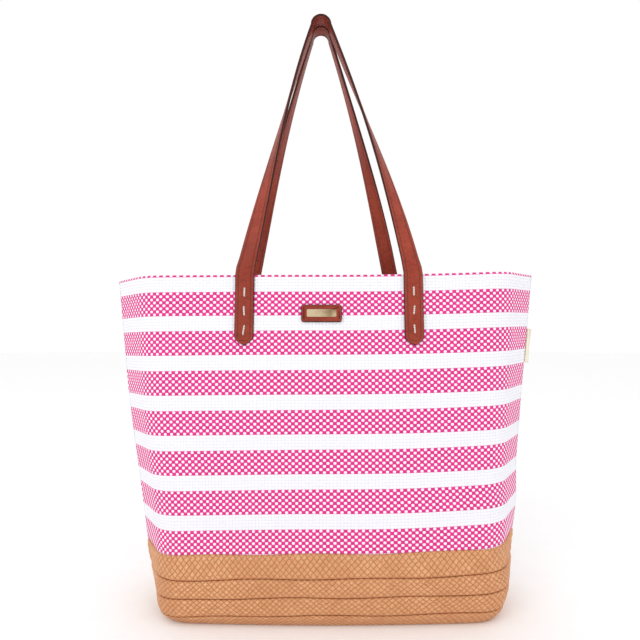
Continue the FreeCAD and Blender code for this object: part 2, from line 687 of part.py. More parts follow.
def zip_plane():
    """Y of the flat plane that the zip's tapes lie against, inside the rear lining."""
    deep = worth(f"{LINED} + Dims.zip_gap")
    return wall_offset(worth("Dims.zip_half + Dims.welt_wide"),
                       worth("Dims.zip_z + Dims.zip_rise"), deep)


def make_zip():
    """Zipped pocket in the rear lining: pouch, welt, two tapes, two coils, end stops."""
    pouch_skin = cut("Pouch_skin", layer["backer_out"], layer["backer_in"])
    low_corner = ("-Dims.pouch_wide / 2", -PROFILE_REACH, "Dims.zip_z - Dims.pouch_deep")
    zone = box("Pouch_zone", low_corner, ("Dims.pouch_wide / 2", -1, "Dims.zip_z"))
    keep(mirrored("Zip_pouch", common("Pouch_front", pouch_skin, zone)), "zip_pouch")
    plane = f"{zip_plane()}"
    face = f"{plane} - Dims.tape_thick"
    proud = f"{face} - Dims.coil_thick"
    half, row = "Dims.zip_half", "(Dims.zip_half - Dims.coil_end)"
    for name, sign in (("upper", 1), ("lower", -1)):
        edge = f"Dims.zip_z + {sign} * Dims.zip_split / 2"
        tape = sorted_pair(edge, f"{edge} + {sign} * Dims.tape_high")
        coil = sorted_pair(edge, f"{edge} + {sign} * Dims.coil_high")
        keep(box(f"Zip_tape_{name}", (f"-{half}", face, tape[0]), (half, plane, tape[1])),
             f"zip_tape_{name}")
        keep(box(f"Zip_coil_{name}", (f"-{row}", proud, coil[0]), (row, face, coil[1])),
             f"zip_coil_{name}")
    stops = []
    for sign in (-1, 1):
        span = sorted_pair(f"{sign} * {row}", f"{sign} * ({row} + Dims.stop_long)")
        stops.append(box("Zip_stop", (span[0], proud, "Dims.zip_z - Dims.stop_high / 2"),
                         (span[1], face, "Dims.zip_z + Dims.stop_high / 2")))
    keep(compound("Zip_stops", stops), "zip_stops")
    reach = "(Dims.tape_high + Dims.zip_split + Dims.welt_lap)"
    outer = box("Welt_outer", (f"-{half} - Dims.welt_wide", f"{face} - Dims.welt_thick",
                               f"Dims.zip_z - {reach}"),
                (f"{half} + Dims.welt_wide", face, f"Dims.zip_z + {reach}"))
    window = box("Welt_window", (f"-{half}", 0, "Dims.zip_z - Dims.window_high / 2"),
                 (half, PROFILE_REACH, "Dims.zip_z + Dims.window_high / 2"))
    keep(cut("Zip_welt", outer, window), "zip_welt")
    return worth(face)


def sorted_pair(first, second):
    """Two expressions, the one with the lower value first."""
    return (first, second) if worth(first) < worth(second) else (second, first)


def make_zip_slider(face):
    """Slider that rides over the coils, and the forked pull that swings on its lug."""
    deep = "Dims.coil_thick + Dims.slider_play + Dims.slider_wall - Dims.slider_lift"
    gap = "2 * (Dims.coil_high + Dims.slider_play) + Dims.zip_split"
    middle = dim("slider_long") / 2
    eye = -worth(f"{deep} + Dims.lug_out - Dims.lug_eye")
    slider = body_of("zip_slider")
    drawn = body_sketch(slider, "XZ_Plane")
    rounded_rectangle(drawn, dim("slider_long"), worth(f"{gap} + 2 * Dims.slider_wall"),
                      dim("slider_round"), (middle, 0),
                      {"wide": "Dims.slider_long", "x": "Dims.slider_long",
                       "high": f"{gap} + 2 * Dims.slider_wall"})
    pad(slider, drawn, deep)
    drawn = body_sketch(slider, "XZ_Plane")
    rounded_rectangle(drawn, dim("lug_long"), dim("lug_high"), 0.4, (middle, 0),
                      {"wide": "Dims.lug_long", "high": "Dims.lug_high"})
    pad(slider, drawn, f"{deep} + Dims.lug_out")
    drawn = body_sketch(slider, "YZ_Plane")
    reach = worth("2 * (Dims.coil_thick + Dims.slider_play - Dims.slider_lift)")
    rounded_rectangle(drawn, reach, worth(gap), 0.3, (0, 0), {"high": gap})
    through(slider, drawn, "Slider_channel")
    hole = body_sketch(slider, "XY_Plane")
    disc(hole, worth("Dims.pin_dia + 2 * Dims.pin_play"), "Dims.pin_dia + 2 * Dims.pin_play",
         (middle, eye))
    through(slider, hole, "Slider_eye")
    start = worth("Dims.slider_start + Dims.coil_end - Dims.zip_half")
    slider.Placement = FreeCAD.Placement(V(start, face - dim("slider_lift"), dim("zip_z")),
                                         FreeCAD.Rotation())

    pull = body_of("zip_pull")
    drawn = body_sketch(pull, "XZ_Plane")
    centre = dim("pull_long") / 2 - dim("pull_end")
    rounded_rectangle(drawn, dim("pull_long"), dim("pull_high"), dim("pull_end"), (centre, 0),
                      {"wide": "Dims.pull_long", "high": "Dims.pull_high",
                       "y": "Dims.pull_high / 2"})
    pad(pull, drawn, "Dims.pull_thick", midplane=True)
    slot = body_sketch(pull, "XZ_Plane")
    rounded_rectangle(slot, 2 * dim("fork_long"), dim("fork_high"), 0.5, (0, 0),
                      {"wide": "2 * Dims.fork_long", "high": "Dims.fork_high"})
    through(pull, slot, "Pull_fork")
    pin = body_sketch(pull, "XY_Plane")
    disc(pin, dim("pin_dia"), "Dims.pin_dia")
    pad(pull, pin, "(Dims.pull_high + Dims.fork_high) / 2", midplane=True)
    pivot = slider.Placement.Base + V(middle, eye, 0)
    pull.Placement = FreeCAD.Placement(pivot, FreeCAD.Rotation())
    print("pull pivot", pivot)


def through(body, sketch, name):
    """Cuts a sketch right through a body, both ways."""
    made = body.newObject("PartDesign::Pocket", name)
    made.Profile = sketch
    made.Type = "ThroughAll"
    made.Midplane = True


# -------------------------------------------------------------------------- label

def make_label():
    """Folded cloth label sewn in the right side seam; it stands out and leans back."""
    rise = dim("z_rim") - dim("z_belly")
    tilt = math.degrees(math.atan2(dim("seam_rim") - dim("seam_belly"), rise))
    share = (dim("label_z") - dim("z_belly")) / rise
    x = dim("seam_belly") + share * (dim("seam_rim") - dim("seam_belly"))
    print("seam at the label", x, "tilt", tilt)
    label = body_of("side_label")
    drawn = body_sketch(label, "XZ_Plane")
    middle = dim("label_root") + dim("label_out") / 2
    rounded_rectangle(drawn, dim("label_out"), dim("label_high"), 1, (middle, 0),
                      {"wide": "Dims.label_out", "high": "Dims.label_high",
                       "x": "Dims.label_root + Dims.label_out", "y": "Dims.label_high / 2"})
    pad(label, drawn, "Dims.label_thick", midplane=True)
    turn = FreeCAD.Rotation(V(0, 1, 0), tilt).multiply(
        FreeCAD.Rotation(V(0, 0, 1), dim("label_turn")))
    label.Placement = FreeCAD.Placement(V(x, 0, dim("label_z")), turn)


def check_and_export():
    """Stops if any object failed or any sub-part is not sound, then writes the STEP files."""
    broken = [o.Name for o in doc.Objects
              if any(state in ("Invalid", "Error") for state in o.State)]
    if broken:
        raise RuntimeError(f"objects failed to build: {broken}")
    os.makedirs("parts", exist_ok=True)
    for node, obj in finished.items():
        shape = obj.Shape
        if shape.isNull() or not shape.isValid() or not shape.Solids:
            raise RuntimeError(f"{node} is not a sound solid")
        shape.exportStep(os.path.join("parts", node + ".step"))
        bounds = shape.BoundBox
        print(f"{node:24s} solids {len(shape.Solids)}  volume {shape.Volume / 1000:9.3f} cm3  "
              f"x {bounds.XMin:7.1f}..{bounds.XMax:7.1f}  y {bounds.YMin:6.1f}..{bounds.YMax:6.1f}"
              f"  z {bounds.ZMin:6.1f}..{bounds.ZMax:6.1f}")


badge_bores = make_woven_panels()
make_lining()
make_braid_rows()
make_base()
make_tabs()
make_handles()
make_badge(badge_bores)
make_snap()
make_slip_pocket()
make_zip_slider(make_zip())
make_label()
doc.recompute()
check_and_export()
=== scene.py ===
import json
import logging
import math
from collections.abc import Callable, Iterable
from dataclasses import dataclass, field
from enum import Enum
from functools import cache

import bmesh
import bpy
import numpy as np
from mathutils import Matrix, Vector


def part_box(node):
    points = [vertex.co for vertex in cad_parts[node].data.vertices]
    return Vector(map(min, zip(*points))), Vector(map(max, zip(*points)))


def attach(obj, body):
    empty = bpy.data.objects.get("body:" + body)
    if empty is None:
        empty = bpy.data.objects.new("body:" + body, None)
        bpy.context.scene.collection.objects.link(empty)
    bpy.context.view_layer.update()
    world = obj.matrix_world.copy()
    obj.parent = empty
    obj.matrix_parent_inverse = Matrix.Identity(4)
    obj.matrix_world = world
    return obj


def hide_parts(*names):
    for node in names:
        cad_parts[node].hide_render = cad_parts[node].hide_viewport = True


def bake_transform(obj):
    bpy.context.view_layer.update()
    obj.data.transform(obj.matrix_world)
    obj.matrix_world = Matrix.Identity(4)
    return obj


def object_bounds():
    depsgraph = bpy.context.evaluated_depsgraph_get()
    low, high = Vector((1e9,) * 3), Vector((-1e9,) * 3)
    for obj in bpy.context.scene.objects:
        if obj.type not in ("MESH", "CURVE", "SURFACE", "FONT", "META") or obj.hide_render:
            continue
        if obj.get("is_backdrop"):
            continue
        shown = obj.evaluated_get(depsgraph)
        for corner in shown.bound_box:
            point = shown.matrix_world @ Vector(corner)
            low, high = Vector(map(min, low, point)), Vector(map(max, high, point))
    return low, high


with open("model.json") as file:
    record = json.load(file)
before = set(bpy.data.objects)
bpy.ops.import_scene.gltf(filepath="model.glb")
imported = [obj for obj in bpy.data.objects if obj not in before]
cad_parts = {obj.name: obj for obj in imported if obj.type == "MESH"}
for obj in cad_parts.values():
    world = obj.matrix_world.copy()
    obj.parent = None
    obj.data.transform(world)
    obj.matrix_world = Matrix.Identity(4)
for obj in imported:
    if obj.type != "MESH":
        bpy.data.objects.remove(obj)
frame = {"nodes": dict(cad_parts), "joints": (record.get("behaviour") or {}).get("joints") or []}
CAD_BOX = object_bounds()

log = logging.getLogger("beach_tote")

PATTERN = "pattern"  # name of the UV map that carries strand and seam coordinates
MERGE = 0.00002    # points closer than this become one
LINING_PITCH = 0.0034    # from one lining stitch to the next
HEM_TALL = 0.014    # height of the slip pocket's hem
Colour = tuple[float, float, float, float]
Socket = bpy.types.NodeSocket
RIGHT, BACKWARD, UP = Vector((1, 0, 0)), Vector((0, 1, 0)), Vector((0, 0, 1))
LINING_STITCH = Vector((0.0012, 0.00028, 0.0002))    # half length, half width, half height


class Side(Enum):
    """Which half of the bag a piece belongs to; the value is the sign of its Y."""

    FRONT = -1
    REAR = 1


@cache
def cad_box(node: str) -> tuple[Vector, Vector]:
    """Lowest and highest corner of a CAD piece, measured once."""
    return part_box(node)


def paint(red: int, green: int, blue: int) -> Colour:
    """Turns a display colour, 0 to 255 a channel, into the linear colour a shader wants."""
    def linear(channel: int) -> float:
        share = channel / 255
        return share / 12.92 if share <= 0.04045 else ((share + 0.055) / 1.055) ** 2.4

    return (linear(red), linear(green), linear(blue), 1.0)


def ease(share: float) -> float:
    """Smooth step from 0 to 1, held outside that range."""
    share = min(1.0, max(0.0, share))
    return share * share * (3 - 2 * share)


def bell(distance: float, reach: float) -> float:
    """1 at zero distance, falling to 0 at reach."""
    return ease(1 - abs(distance) / reach)


# ------------------------------------------------------------------ node recipes


class Recipe:
    """A material being put together node by node."""

    def __init__(self, name: str) -> None:
        """Starts a material with one shader.

        Args:
            name: the material's name.
        """
        self.material = bpy.data.materials.new(name)
        self.material.use_nodes = True
        self.tree = self.material.node_tree
        self.shader = next(n for n in self.tree.nodes if n.type == "BSDF_PRINCIPLED")

    def feed(self, socket: Socket, value: "Socket | float | Colour") -> None:
        """Links a socket, or sets a plain value on it."""
        if isinstance(value, bpy.types.NodeSocket):
            self.tree.links.new(value, socket)
        else:
            socket.default_value = value

    def node(self, kind: str, **settings: object) -> bpy.types.Node:
        """Adds a node and sets its properties."""
        made = self.tree.nodes.new(kind)
        for name, value in settings.items():
            setattr(made, name, value)
        return made

    def place(self) -> Socket:
        """Object coordinates in metres."""
        return self.node("ShaderNodeTexCoord").outputs["Object"]

    def pattern(self) -> tuple[Socket, Socket]:
        """The two coordinates of the piece's own pattern map."""
        source = self.node("ShaderNodeUVMap", uv_map=PATTERN)
        split = self.node("ShaderNodeSeparateXYZ")
        self.feed(split.inputs[0], source.outputs[0])
        return split.outputs[0], split.outputs[1]

    def combine(self, x: "Socket | float", y: "Socket | float", z: "Socket | float" = 0.0) -> Socket:
        """A vector from three values."""
        made = self.node("ShaderNodeCombineXYZ")
        for socket, value in zip(made.inputs, (x, y, z)):
            self.feed(socket, value)
        return made.outputs[0]

    def maths(self, operation: str, *values: "Socket | float") -> Socket:
        """One arithmetic step."""
        made = self.node("ShaderNodeMath", operation=operation)
        for socket, value in zip(made.inputs, values):
            self.feed(socket, value)
        return made.outputs[0]

    def step(self, value: Socket, low: float, high: float) -> Socket:
        """Smooth step of value from low to high; low may be above high."""
        made = self.node("ShaderNodeMapRange", interpolation_type="SMOOTHSTEP")
        self.feed(made.inputs["Value"], value)
        turned = low > high
        made.inputs["From Min"].default_value = min(low, high)
        made.inputs["From Max"].default_value = max(low, high)
        made.inputs["To Min"].default_value = 1.0 if turned else 0.0
        made.inputs["To Max"].default_value = 0.0 if turned else 1.0
        return made.outputs[0]

    def mix(self, share: "Socket | float", first: "Socket | Colour", second: "Socket | Colour",
            blend: str = "MIX") -> Socket:
        """Mixes two colours."""
        made = self.node("ShaderNodeMix", data_type="RGBA", blend_type=blend)
        self.feed(made.inputs[0], share)
        self.feed(made.inputs[6], first)
        self.feed(made.inputs[7], second)
        return made.outputs[2]

    def noise(self, vector: Socket, scale: float, detail: float = 2.0) -> Socket:
        """Soft noise, about 0 to 1."""
        made = self.node("ShaderNodeTexNoise")
        self.feed(made.inputs["Vector"], vector)
        made.inputs["Scale"].default_value = scale
        made.inputs["Detail"].default_value = detail
        return made.outputs[0]

    def cells(self, vector: Socket, scale: float, feature: str = "F1") -> Socket:
        """Distance inside a pattern of cells."""
        made = self.node("ShaderNodeTexVoronoi", feature=feature)
        self.feed(made.inputs["Vector"], vector)
        made.inputs["Scale"].default_value = scale
        return made.outputs["Distance"]

    def scatter(self, vector: Socket) -> Socket:
        """One random value for each place, steady from run to run."""
        made = self.node("ShaderNodeTexWhiteNoise", noise_dimensions="3D")
        self.feed(made.inputs["Vector"], vector)
        return made.outputs["Value"]

    def bump(self, height: Socket, depth: float, under: "Socket | None" = None) -> Socket:
        """Surface relief of the given depth in metres, laid over another one."""
        made = self.node("ShaderNodeBump")
        made.inputs["Distance"].default_value = depth
        self.feed(made.inputs["Height"], height)
        if under is not None:
            self.feed(made.inputs["Normal"], under)
        return made.outputs[0]

    def finish(self, colour: "Socket | Colour", roughness: "Socket | float",
               normal: "Socket | None" = None, **fixed: "float | Colour") -> bpy.types.Material:
        """Feeds the shader.

        Args:
            colour: base colour.
            roughness: surface roughness.
            normal: the last relief, if any.
            fixed: other shader inputs, underscores standing for spaces, set as plain values.

        Returns:
            The finished material.
        """
        self.feed(self.shader.inputs["Base Color"], colour)
        self.feed(self.shader.inputs["Roughness"], roughness)
        if normal is not None:
            self.feed(self.shader.inputs["Normal"], normal)
        for name, value in fixed.items():
            self.shader.inputs[name.replace("_", " ")].default_value = value
        return self.material


# --------------------------------------------------------------------- finishes


@dataclass(frozen=True)
class StrawWeave:
    """Plain-woven paper straw with dyed bands; the pattern map counts strands and rows."""

    white: Colour = paint(243, 243, 249)
    shade: Colour = paint(216, 214, 224)
    pink: Colour = paint(234, 44, 146)
    deep_pink_and_shade: Colour = paint(200, 30, 114)
    band_rows: int = 13
    dyed_rows: int = 8
    first_row: int = 7
    dot_edge: float = 0.22
    dot_blur: float = 0.09

    def make(self) -> bpy.types.Material:
        """Dyed floats with white dots between them, fibres along each strand."""
        r = Recipe("straw_weave")
        across, down = r.pattern()
        wave = r.maths("MULTIPLY", r.maths("SINE", r.maths("MULTIPLY", across, math.pi)),
                       r.maths("SINE", r.maths("MULTIPLY", down, math.pi)))
        row = r.maths("FLOOR", down)
        count = r.maths("FLOORED_MODULO", r.maths("ADD", row, self.first_row), self.band_rows)
        dyed = r.maths("LESS_THAN", count, self.dyed_rows - 0.5)
        float_share = r.step(wave, self.dot_edge + self.dot_blur, self.dot_edge - self.dot_blur)
        lying = r.combine(r.maths("MULTIPLY", across, 0.8), r.maths("MULTIPLY", down, 9.0))
        standing = r.combine(r.maths("MULTIPLY", across, 9.0), r.maths("MULTIPLY", down, 0.8), 7.0)
        fibre = r.mix(float_share, r.noise(standing, 1.0, 3.0), r.noise(lying, 1.0, 3.0))
        strand = r.scatter(r.combine(r.maths("FLOOR", across), row))
        # Darker pink towards each pink float's middle: painted shade standing in for the shadow where
        # strands cross, mixed with a random tone for each strand.
        depth = r.step(wave, -0.25, -0.95)
        tone = r.maths("MULTIPLY_ADD", strand, 0.35, r.maths("MULTIPLY", depth, 0.55))
        dye_and_shade = r.mix(tone, self.pink, self.deep_pink_and_shade)
        crest = r.maths("ABSOLUTE", wave)
        hollow = r.step(crest, 0.22, 0.0)
        plain = r.mix(r.maths("MULTIPLY", hollow, 0.55), self.white, self.shade)
        plain = r.mix(r.maths("MULTIPLY", r.step(fibre, 0.55, 0.35), 0.25), plain, self.shade)
        colour = r.mix(r.maths("MULTIPLY", dyed, float_share), plain, dye_and_shade)
        relief = r.bump(r.maths("POWER", crest, 0.6), 0.00045)
        relief = r.bump(fibre, 0.00018, relief)
        return r.finish(colour, r.maths("MULTIPLY_ADD", fibre, 0.2, 0.5), relief,
                        Specular_IOR_Level=0.32, Sheen_Weight=0.08, Sheen_Roughness=0.5)


@dataclass(frozen=True)
class StrawBraid:
    """Natural straw in a flat braid; the pattern map counts the two slanting strand families."""

    name: str = "straw_braid"
    light: Colour = paint(236, 178, 128)
    middle: Colour = paint(222, 158, 108)
    dark: Colour = paint(196, 128, 82)
    gap: Colour = paint(138, 82, 48)

    def make(self) -> bpy.types.Material:
        """Strands over and under each other, each with its own tone and fine fibres."""
        r = Recipe(self.name)
        first, second = r.pattern()
        loose = r.noise(r.place(), 260.0, 2.0)
        first = r.maths("ADD", first, r.maths("MULTIPLY_ADD", loose, 0.5, -0.25))
        second = r.maths("ADD", second, r.maths("MULTIPLY_ADD", r.noise(r.place(), 190.0, 2.0),
                                                0.5, -0.25))
        cell_a, cell_b = r.maths("FLOOR", first), r.maths("FLOOR", second)
        share_a, share_b = r.maths("FRACT", first), r.maths("FRACT", second)
        turned = r.maths("FLOORED_MODULO", r.maths("ADD", cell_a, cell_b), 2.0)
        across = r.mix(turned, share_b, share_a)
        along = r.mix(turned, share_a, share_b)
        number = r.mix(turned, cell_b, r.maths("ADD", cell_a, 311.0))
        middle = r.maths("ABSOLUTE", r.maths("SUBTRACT", across, 0.5))
        end = r.maths("ABSOLUTE", r.maths("SUBTRACT", along, 0.5))
        edge = r.step(middle, 0.34, 0.5)
        tuck = r.step(end, 0.36, 0.52)
        fibres = r.noise(r.combine(r.maths("MULTIPLY", across, 11.0),
                                   r.maths("MULTIPLY", along, 1.3), number), 1.0, 3.0)
        tone = r.scatter(r.combine(number, r.maths("FLOOR", r.maths("MULTIPLY", cell_a, 0.34))))
        colour = r.mix(tone, self.middle, self.light)
        colour = r.mix(r.step(fibres, 0.6, 0.25), colour, self.dark)
        shadow = r.maths("MAXIMUM", edge, r.maths("MULTIPLY", tuck, 0.75))
        colour = r.mix(r.maths("MULTIPLY", shadow, 0.62), colour, self.gap)
        patches = r.noise(r.place(), 22.0, 2.0)
        colour = r.mix(r.maths("MULTIPLY", r.step(patches, 0.35, 0.75), 0.3), colour, self.dark)
        relief = r.bump(r.maths("SUBTRACT", 1.0, shadow), 0.0006)
        relief = r.bump(fibres, 0.00022, relief)
        return r.finish(colour, r.maths("MULTIPLY_ADD", fibres, 0.22, 0.42), relief,
                        Specular_IOR_Level=0.4)


@dataclass(frozen=True)
class TanLeather:
    """Smooth coated leather with a fine pebble grain and darker painted edges.

    The pattern map gives the distance from the nearest edge and the distance along the piece.
    """

    name: str = "tan_leather"
    base: Colour = paint(139, 52, 35)
    light: Colour = paint(157, 64, 45)
    dark: Colour = paint(92, 32, 20)
    edge: Colour = paint(56, 20, 15)
    edge_wide: float = 0.0009
    crease: float = 0.0039

    def make(self) -> bpy.types.Material:
        """Grain, darker wrinkle hollows, stitched crease line and edge paint."""
        r = Recipe(self.name)
        place = r.place()
        inside, along = r.pattern()
        pebble = r.cells(place, 900.0, "SMOOTH_F1")
        wrinkle = r.noise(place, 260.0, 4.0)
        cloud = r.noise(place, 28.0, 3.0)
        colour = r.mix(r.step(cloud, 0.35, 0.7), self.base, self.light)
        # Darker where the wrinkle relief dips.
        colour = r.mix(r.maths("MULTIPLY", r.step(wrinkle, 0.55, 0.3), 0.35), colour, self.dark)
        line = r.maths("ABSOLUTE", r.maths("SUBTRACT", inside, self.crease))
        pressed = r.step(line, 0.0009, 0.0002)
        colour = r.mix(r.maths("MULTIPLY", pressed, 0.55), colour, self.dark)
        wander = r.maths("MULTIPLY", r.noise(r.combine(along, 0.0), 90.0, 2.0), 0.0004)
        painted = r.step(r.maths("SUBTRACT", inside, wander), self.edge_wide, self.edge_wide * 0.3)
        colour = r.mix(painted, colour, self.edge)
        relief = r.bump(pebble, 0.00016)
        relief = r.bump(wrinkle, 0.00022, relief)
        gloss = r.maths("MULTIPLY_ADD", cloud, 0.16, 0.36)
        return r.finish(colour, gloss, relief, Specular_IOR_Level=0.2)


@dataclass(frozen=True)
class Thread:
    """Spun thread: two plies wound round each other."""

    name: str
    colour: Colour
    shade: Colour
    plies: float = 1400.0

    def make(self) -> bpy.types.Material:
        """Slanting ply lines and a soft fuzz."""
        r = Recipe(self.name)
        place = r.place()
        lines = r.node("ShaderNodeTexWave", bands_direction="DIAGONAL")
        r.feed(lines.inputs["Vector"], place)
        lines.inputs["Scale"].default_value = self.plies
        lines.inputs["Distortion"].default_value = 1.5
        fuzz = r.noise(place, 2600.0, 2.0)
        colour = r.mix(lines.outputs["Fac"], self.shade, self.colour)
        relief = r.bump(lines.outputs["Fac"], 0.00012)
        relief = r.bump(fuzz, 0.00006, relief)
        return r.finish(colour, 0.68, relief, Sheen_Weight=0.25, Sheen_Roughness=0.4)


@dataclass(frozen=True)
class Metal:
    """Plated metal with fine brushing, or polished where brushing is 0."""

    name: str
    colour: Colour
    tarnish: Colour
    roughness: float = 0.28
    brushing: float = 1.0

    def make(self) -> bpy.types.Material:
        """Lengthwise brush lines, cloudy tarnish and small scratches."""
        r = Recipe(self.name)
        place = r.place()
        stretched = r.node("ShaderNodeMapping")
        r.feed(stretched.inputs["Vector"], place)
        stretched.inputs["Scale"].default_value = (30.0, 900.0, 2400.0)
        brushed = r.noise(stretched.outputs[0], 1.0, 2.0)
        cloud = r.noise(place, 55.0, 3.0)
        colour = r.mix(r.step(cloud, 0.38, 0.68), self.colour, self.tarnish)
        gloss = r.maths("MULTIPLY_ADD", brushed, 0.22 * self.brushing, self.roughness)
        relief = r.bump(brushed, 0.00003 * self.brushing)
        return r.finish(colour, gloss, relief, Metallic=1.0)


@dataclass(frozen=True)
class Cloth:
    """Fine plain-woven cotton or tape; threads is the count to the metre."""

    name: str
    colour: Colour
    shade: Colour
    threads: float = 2400.0
    slub: float = 60.0
    relief: float = 0.06       # depth of the weave, as a share of one thread's width

    def make(self) -> bpy.types.Material:
        """Crossed thread lines with uneven slubs and painted shade between the threads."""
        r = Recipe(self.name)
        place = r.place()
        split = r.node("ShaderNodeSeparateXYZ")
        r.feed(split.inputs[0], place)
        turns = self.threads * math.pi
        across = r.maths("SINE", r.maths("MULTIPLY", split.outputs[0], turns))
        up = r.maths("SINE", r.maths("MULTIPLY", r.maths("ADD", split.outputs[2],
                                                         split.outputs[1]), turns))
        weave = r.maths("ABSOLUTE", r.maths("MULTIPLY", across, up))
        uneven = r.noise(place, self.slub, 4.0)
        fine = r.noise(place, 900.0, 2.0)
        colour = r.mix(r.step(uneven, 0.3, 0.7), self.shade, self.colour)
        # Painted shade between the threads, where the weave dips.
        colour = r.mix(r.maths("MULTIPLY", r.step(weave, 0.4, 0.0), 0.3), colour, self.shade)
        relief = r.bump(weave, self.relief / self.threads)
        relief = r.bump(fine, 0.00008, relief)
        return r.finish(colour, 0.85, relief, Sheen_Weight=0.3, Sheen_Roughness=0.5,
                        Specular_IOR_Level=0.2)


@dataclass(frozen=True)
class PressedBoard:
    """Grey pressed board of the stiff base."""

    def make(self) -> bpy.types.Material:
        """Flecked board with a soft nap."""
        r = Recipe("pressed_board")
        fleck = r.noise(r.place(), 420.0, 4.0)
        colour = r.mix(r.step(fleck, 0.35, 0.65), paint(120, 112, 100), paint(164, 156, 142))
        return r.finish(colour, 0.9, r.bump(fleck, 0.0002))


Finish = StrawWeave | StrawBraid | TanLeather | Thread | Metal | Cloth | PressedBoard


def made_by(finish: Finish) -> bpy.types.Material:
    """A field whose material is made with the bag's other finishes."""
    return field(default_factory=finish.make)


@dataclass
class Finishes:
    """Every material of the bag, made once."""

    weave: bpy.types.Material = made_by(StrawWeave())
    braid: bpy.types.Material = made_by(StrawBraid())
    leather: bpy.types.Material = made_by(TanLeather())
    # Backing leather for the strap's underside, a darker copy of the tan leather: the backing is real,
    # its darker colour is painted shade for an underside in shadow.
    shaded_backing: bpy.types.Material = made_by(
        TanLeather("leather_backing", paint(106, 42, 32), paint(118, 50, 38)))
    brown_thread: bpy.types.Material = made_by(
        Thread("brown_thread", paint(132, 58, 42), paint(78, 30, 22)))
    white_thread: bpy.types.Material = made_by(
        Thread("white_thread", paint(246, 238, 230), paint(206, 192, 182)))
    cream_thread: bpy.types.Material = made_by(
        Thread("cream_thread", paint(236, 226, 206), paint(196, 184, 160)))
    gilt: bpy.types.Material = made_by(
        Metal("gilt_plate", paint(206, 186, 152), paint(132, 106, 76), 0.26))
    brass: bpy.types.Material = made_by(
        Metal("snap_brass", paint(214, 190, 140), paint(150, 122, 84), 0.2, 0.3))
    steel: bpy.types.Material = made_by(
        Metal("zip_metal", paint(196, 176, 140), paint(132, 112, 84), 0.26, 0.5))
    lining: bpy.types.Material = made_by(
        Cloth("lining_cotton", paint(232, 220, 196), paint(204, 188, 160)))
    tape: bpy.types.Material = made_by(
        Cloth("zip_tape", paint(206, 180, 140), paint(172, 144, 106), 3600.0))
    coil: bpy.types.Material = made_by(
        Thread("zip_coil", paint(196, 160, 112), paint(120, 92, 60), 500.0))
    label: bpy.types.Material = made_by(
        Cloth("label_satin", paint(240, 232, 212), paint(216, 204, 178), 4200.0))
    board: bpy.types.Material = made_by(PressedBoard())


# ------------------------------------------------------------------ mesh helpers


def shaped_grid(across: int, along: int, place: Callable[[float, float], Vector],
                mark: Callable[[float, float], tuple[float, float]]) -> bmesh.types.BMesh:
    """A grid bent into shape, with its pattern map.

    Args:
        across: faces one way.
        along: faces the other way.
        place: position of a point from its two shares, 0 to 1.
        mark: pattern coordinates of a point from the same two shares.

    Returns:
        The bent grid, still open.
    """
    mesh = bmesh.new()
    bmesh.ops.create_grid(mesh, x_segments=across, y_segments=along, size=0.5)
    chart = mesh.loops.layers.uv.new(PATTERN)
    shares = {v: (v.co.x + 0.5, v.co.y + 0.5) for v in mesh.verts}
    for face in mesh.faces:
        for loop in face.loops:
            loop[chart].uv = mark(*shares[loop.vert])
    for vertex, (u, v) in shares.items():
        vertex.co = place(u, v)
    return mesh


def there_and_back(v: float, faces: int) -> tuple[float, bool]:
    """Follows a closed sheet up its shown face and down its back.

    Args:
        v: share of the whole way round, in steps of 1 / (2 * faces + 2).
        faces: faces along one side of the sheet.

    Returns:
        The share along the sheet, and whether the place is on the shown face.
    """
    step = round(v * (2 * faces + 2))
    if step <= faces:
        return step / faces, True
    if step <= 2 * faces + 1:
        return 1 - (step - faces - 1) / faces, False
    return 0.0, True


def close_up(mesh: bmesh.types.BMesh) -> None:
    """Joins edges that meet, caps open ends and recalculates the normals."""
    bmesh.ops.remove_doubles(mesh, verts=mesh.verts, dist=MERGE)
    bmesh.ops.dissolve_degenerate(mesh, edges=mesh.edges, dist=MERGE / 4)
    rims = [e for e in mesh.edges if e.is_boundary]
    if rims:
        bmesh.ops.holes_fill(mesh, edges=rims)
    bmesh.ops.recalc_face_normals(mesh, faces=mesh.faces)


def finished(name: str, mesh: bmesh.types.BMesh, material: bpy.types.Material,
             smooth: bool = True) -> bpy.types.Object:
    """Turns a bmesh into a named piece.

    Args:
        name: the piece's name.
        mesh: its mesh, which is freed.
        material: its finish.
        smooth: whether its faces shade smoothly.

    Returns:
        The new object, linked to the scene.
    """
    data = bpy.data.meshes.new(name)
    mesh.to_mesh(data)
    mesh.free()
    data.materials.append(material)
    for face in data.polygons:
        face.use_smooth = smooth
    made = bpy.data.objects.new(name, data)
    bpy.context.scene.collection.objects.link(made)
    log.info("%s: %d faces", name, len(data.polygons))
    return made


def on_bag(name: str, mesh: bmesh.types.BMesh, material: bpy.types.Material,
           nodes: Iterable[str] | None = None, smooth: bool = True) -> bpy.types.Object:
    """Makes a piece that rides on the bag.

    Args:
        name: the piece's name.
        mesh: its mesh, which is freed.
        material: its finish.
        nodes: the CAD pieces it stands for, or None where that isn't said.
        smooth: whether its faces shade smoothly.

    Returns:
        The new object.
    """
    made = finished(name, mesh, material, smooth)
    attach(made, "bag")
    if nodes is not None:
        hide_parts(*nodes)
    return made


def absorb(mesh: bmesh.types.BMesh, part: bmesh.types.BMesh) -> None:
    """Adds a part to a mesh and frees the part."""
    data = bpy.data.meshes.new("part")
    part.to_mesh(data)
    part.free()
    mesh.from_mesh(data)
    bpy.data.meshes.remove(data)


def dress(node: str, material: bpy.types.Material) -> None:
    """Gives a CAD piece its finish."""
    mesh = frame["nodes"][node].data
    mesh.materials.clear()
    mesh.materials.append(material)


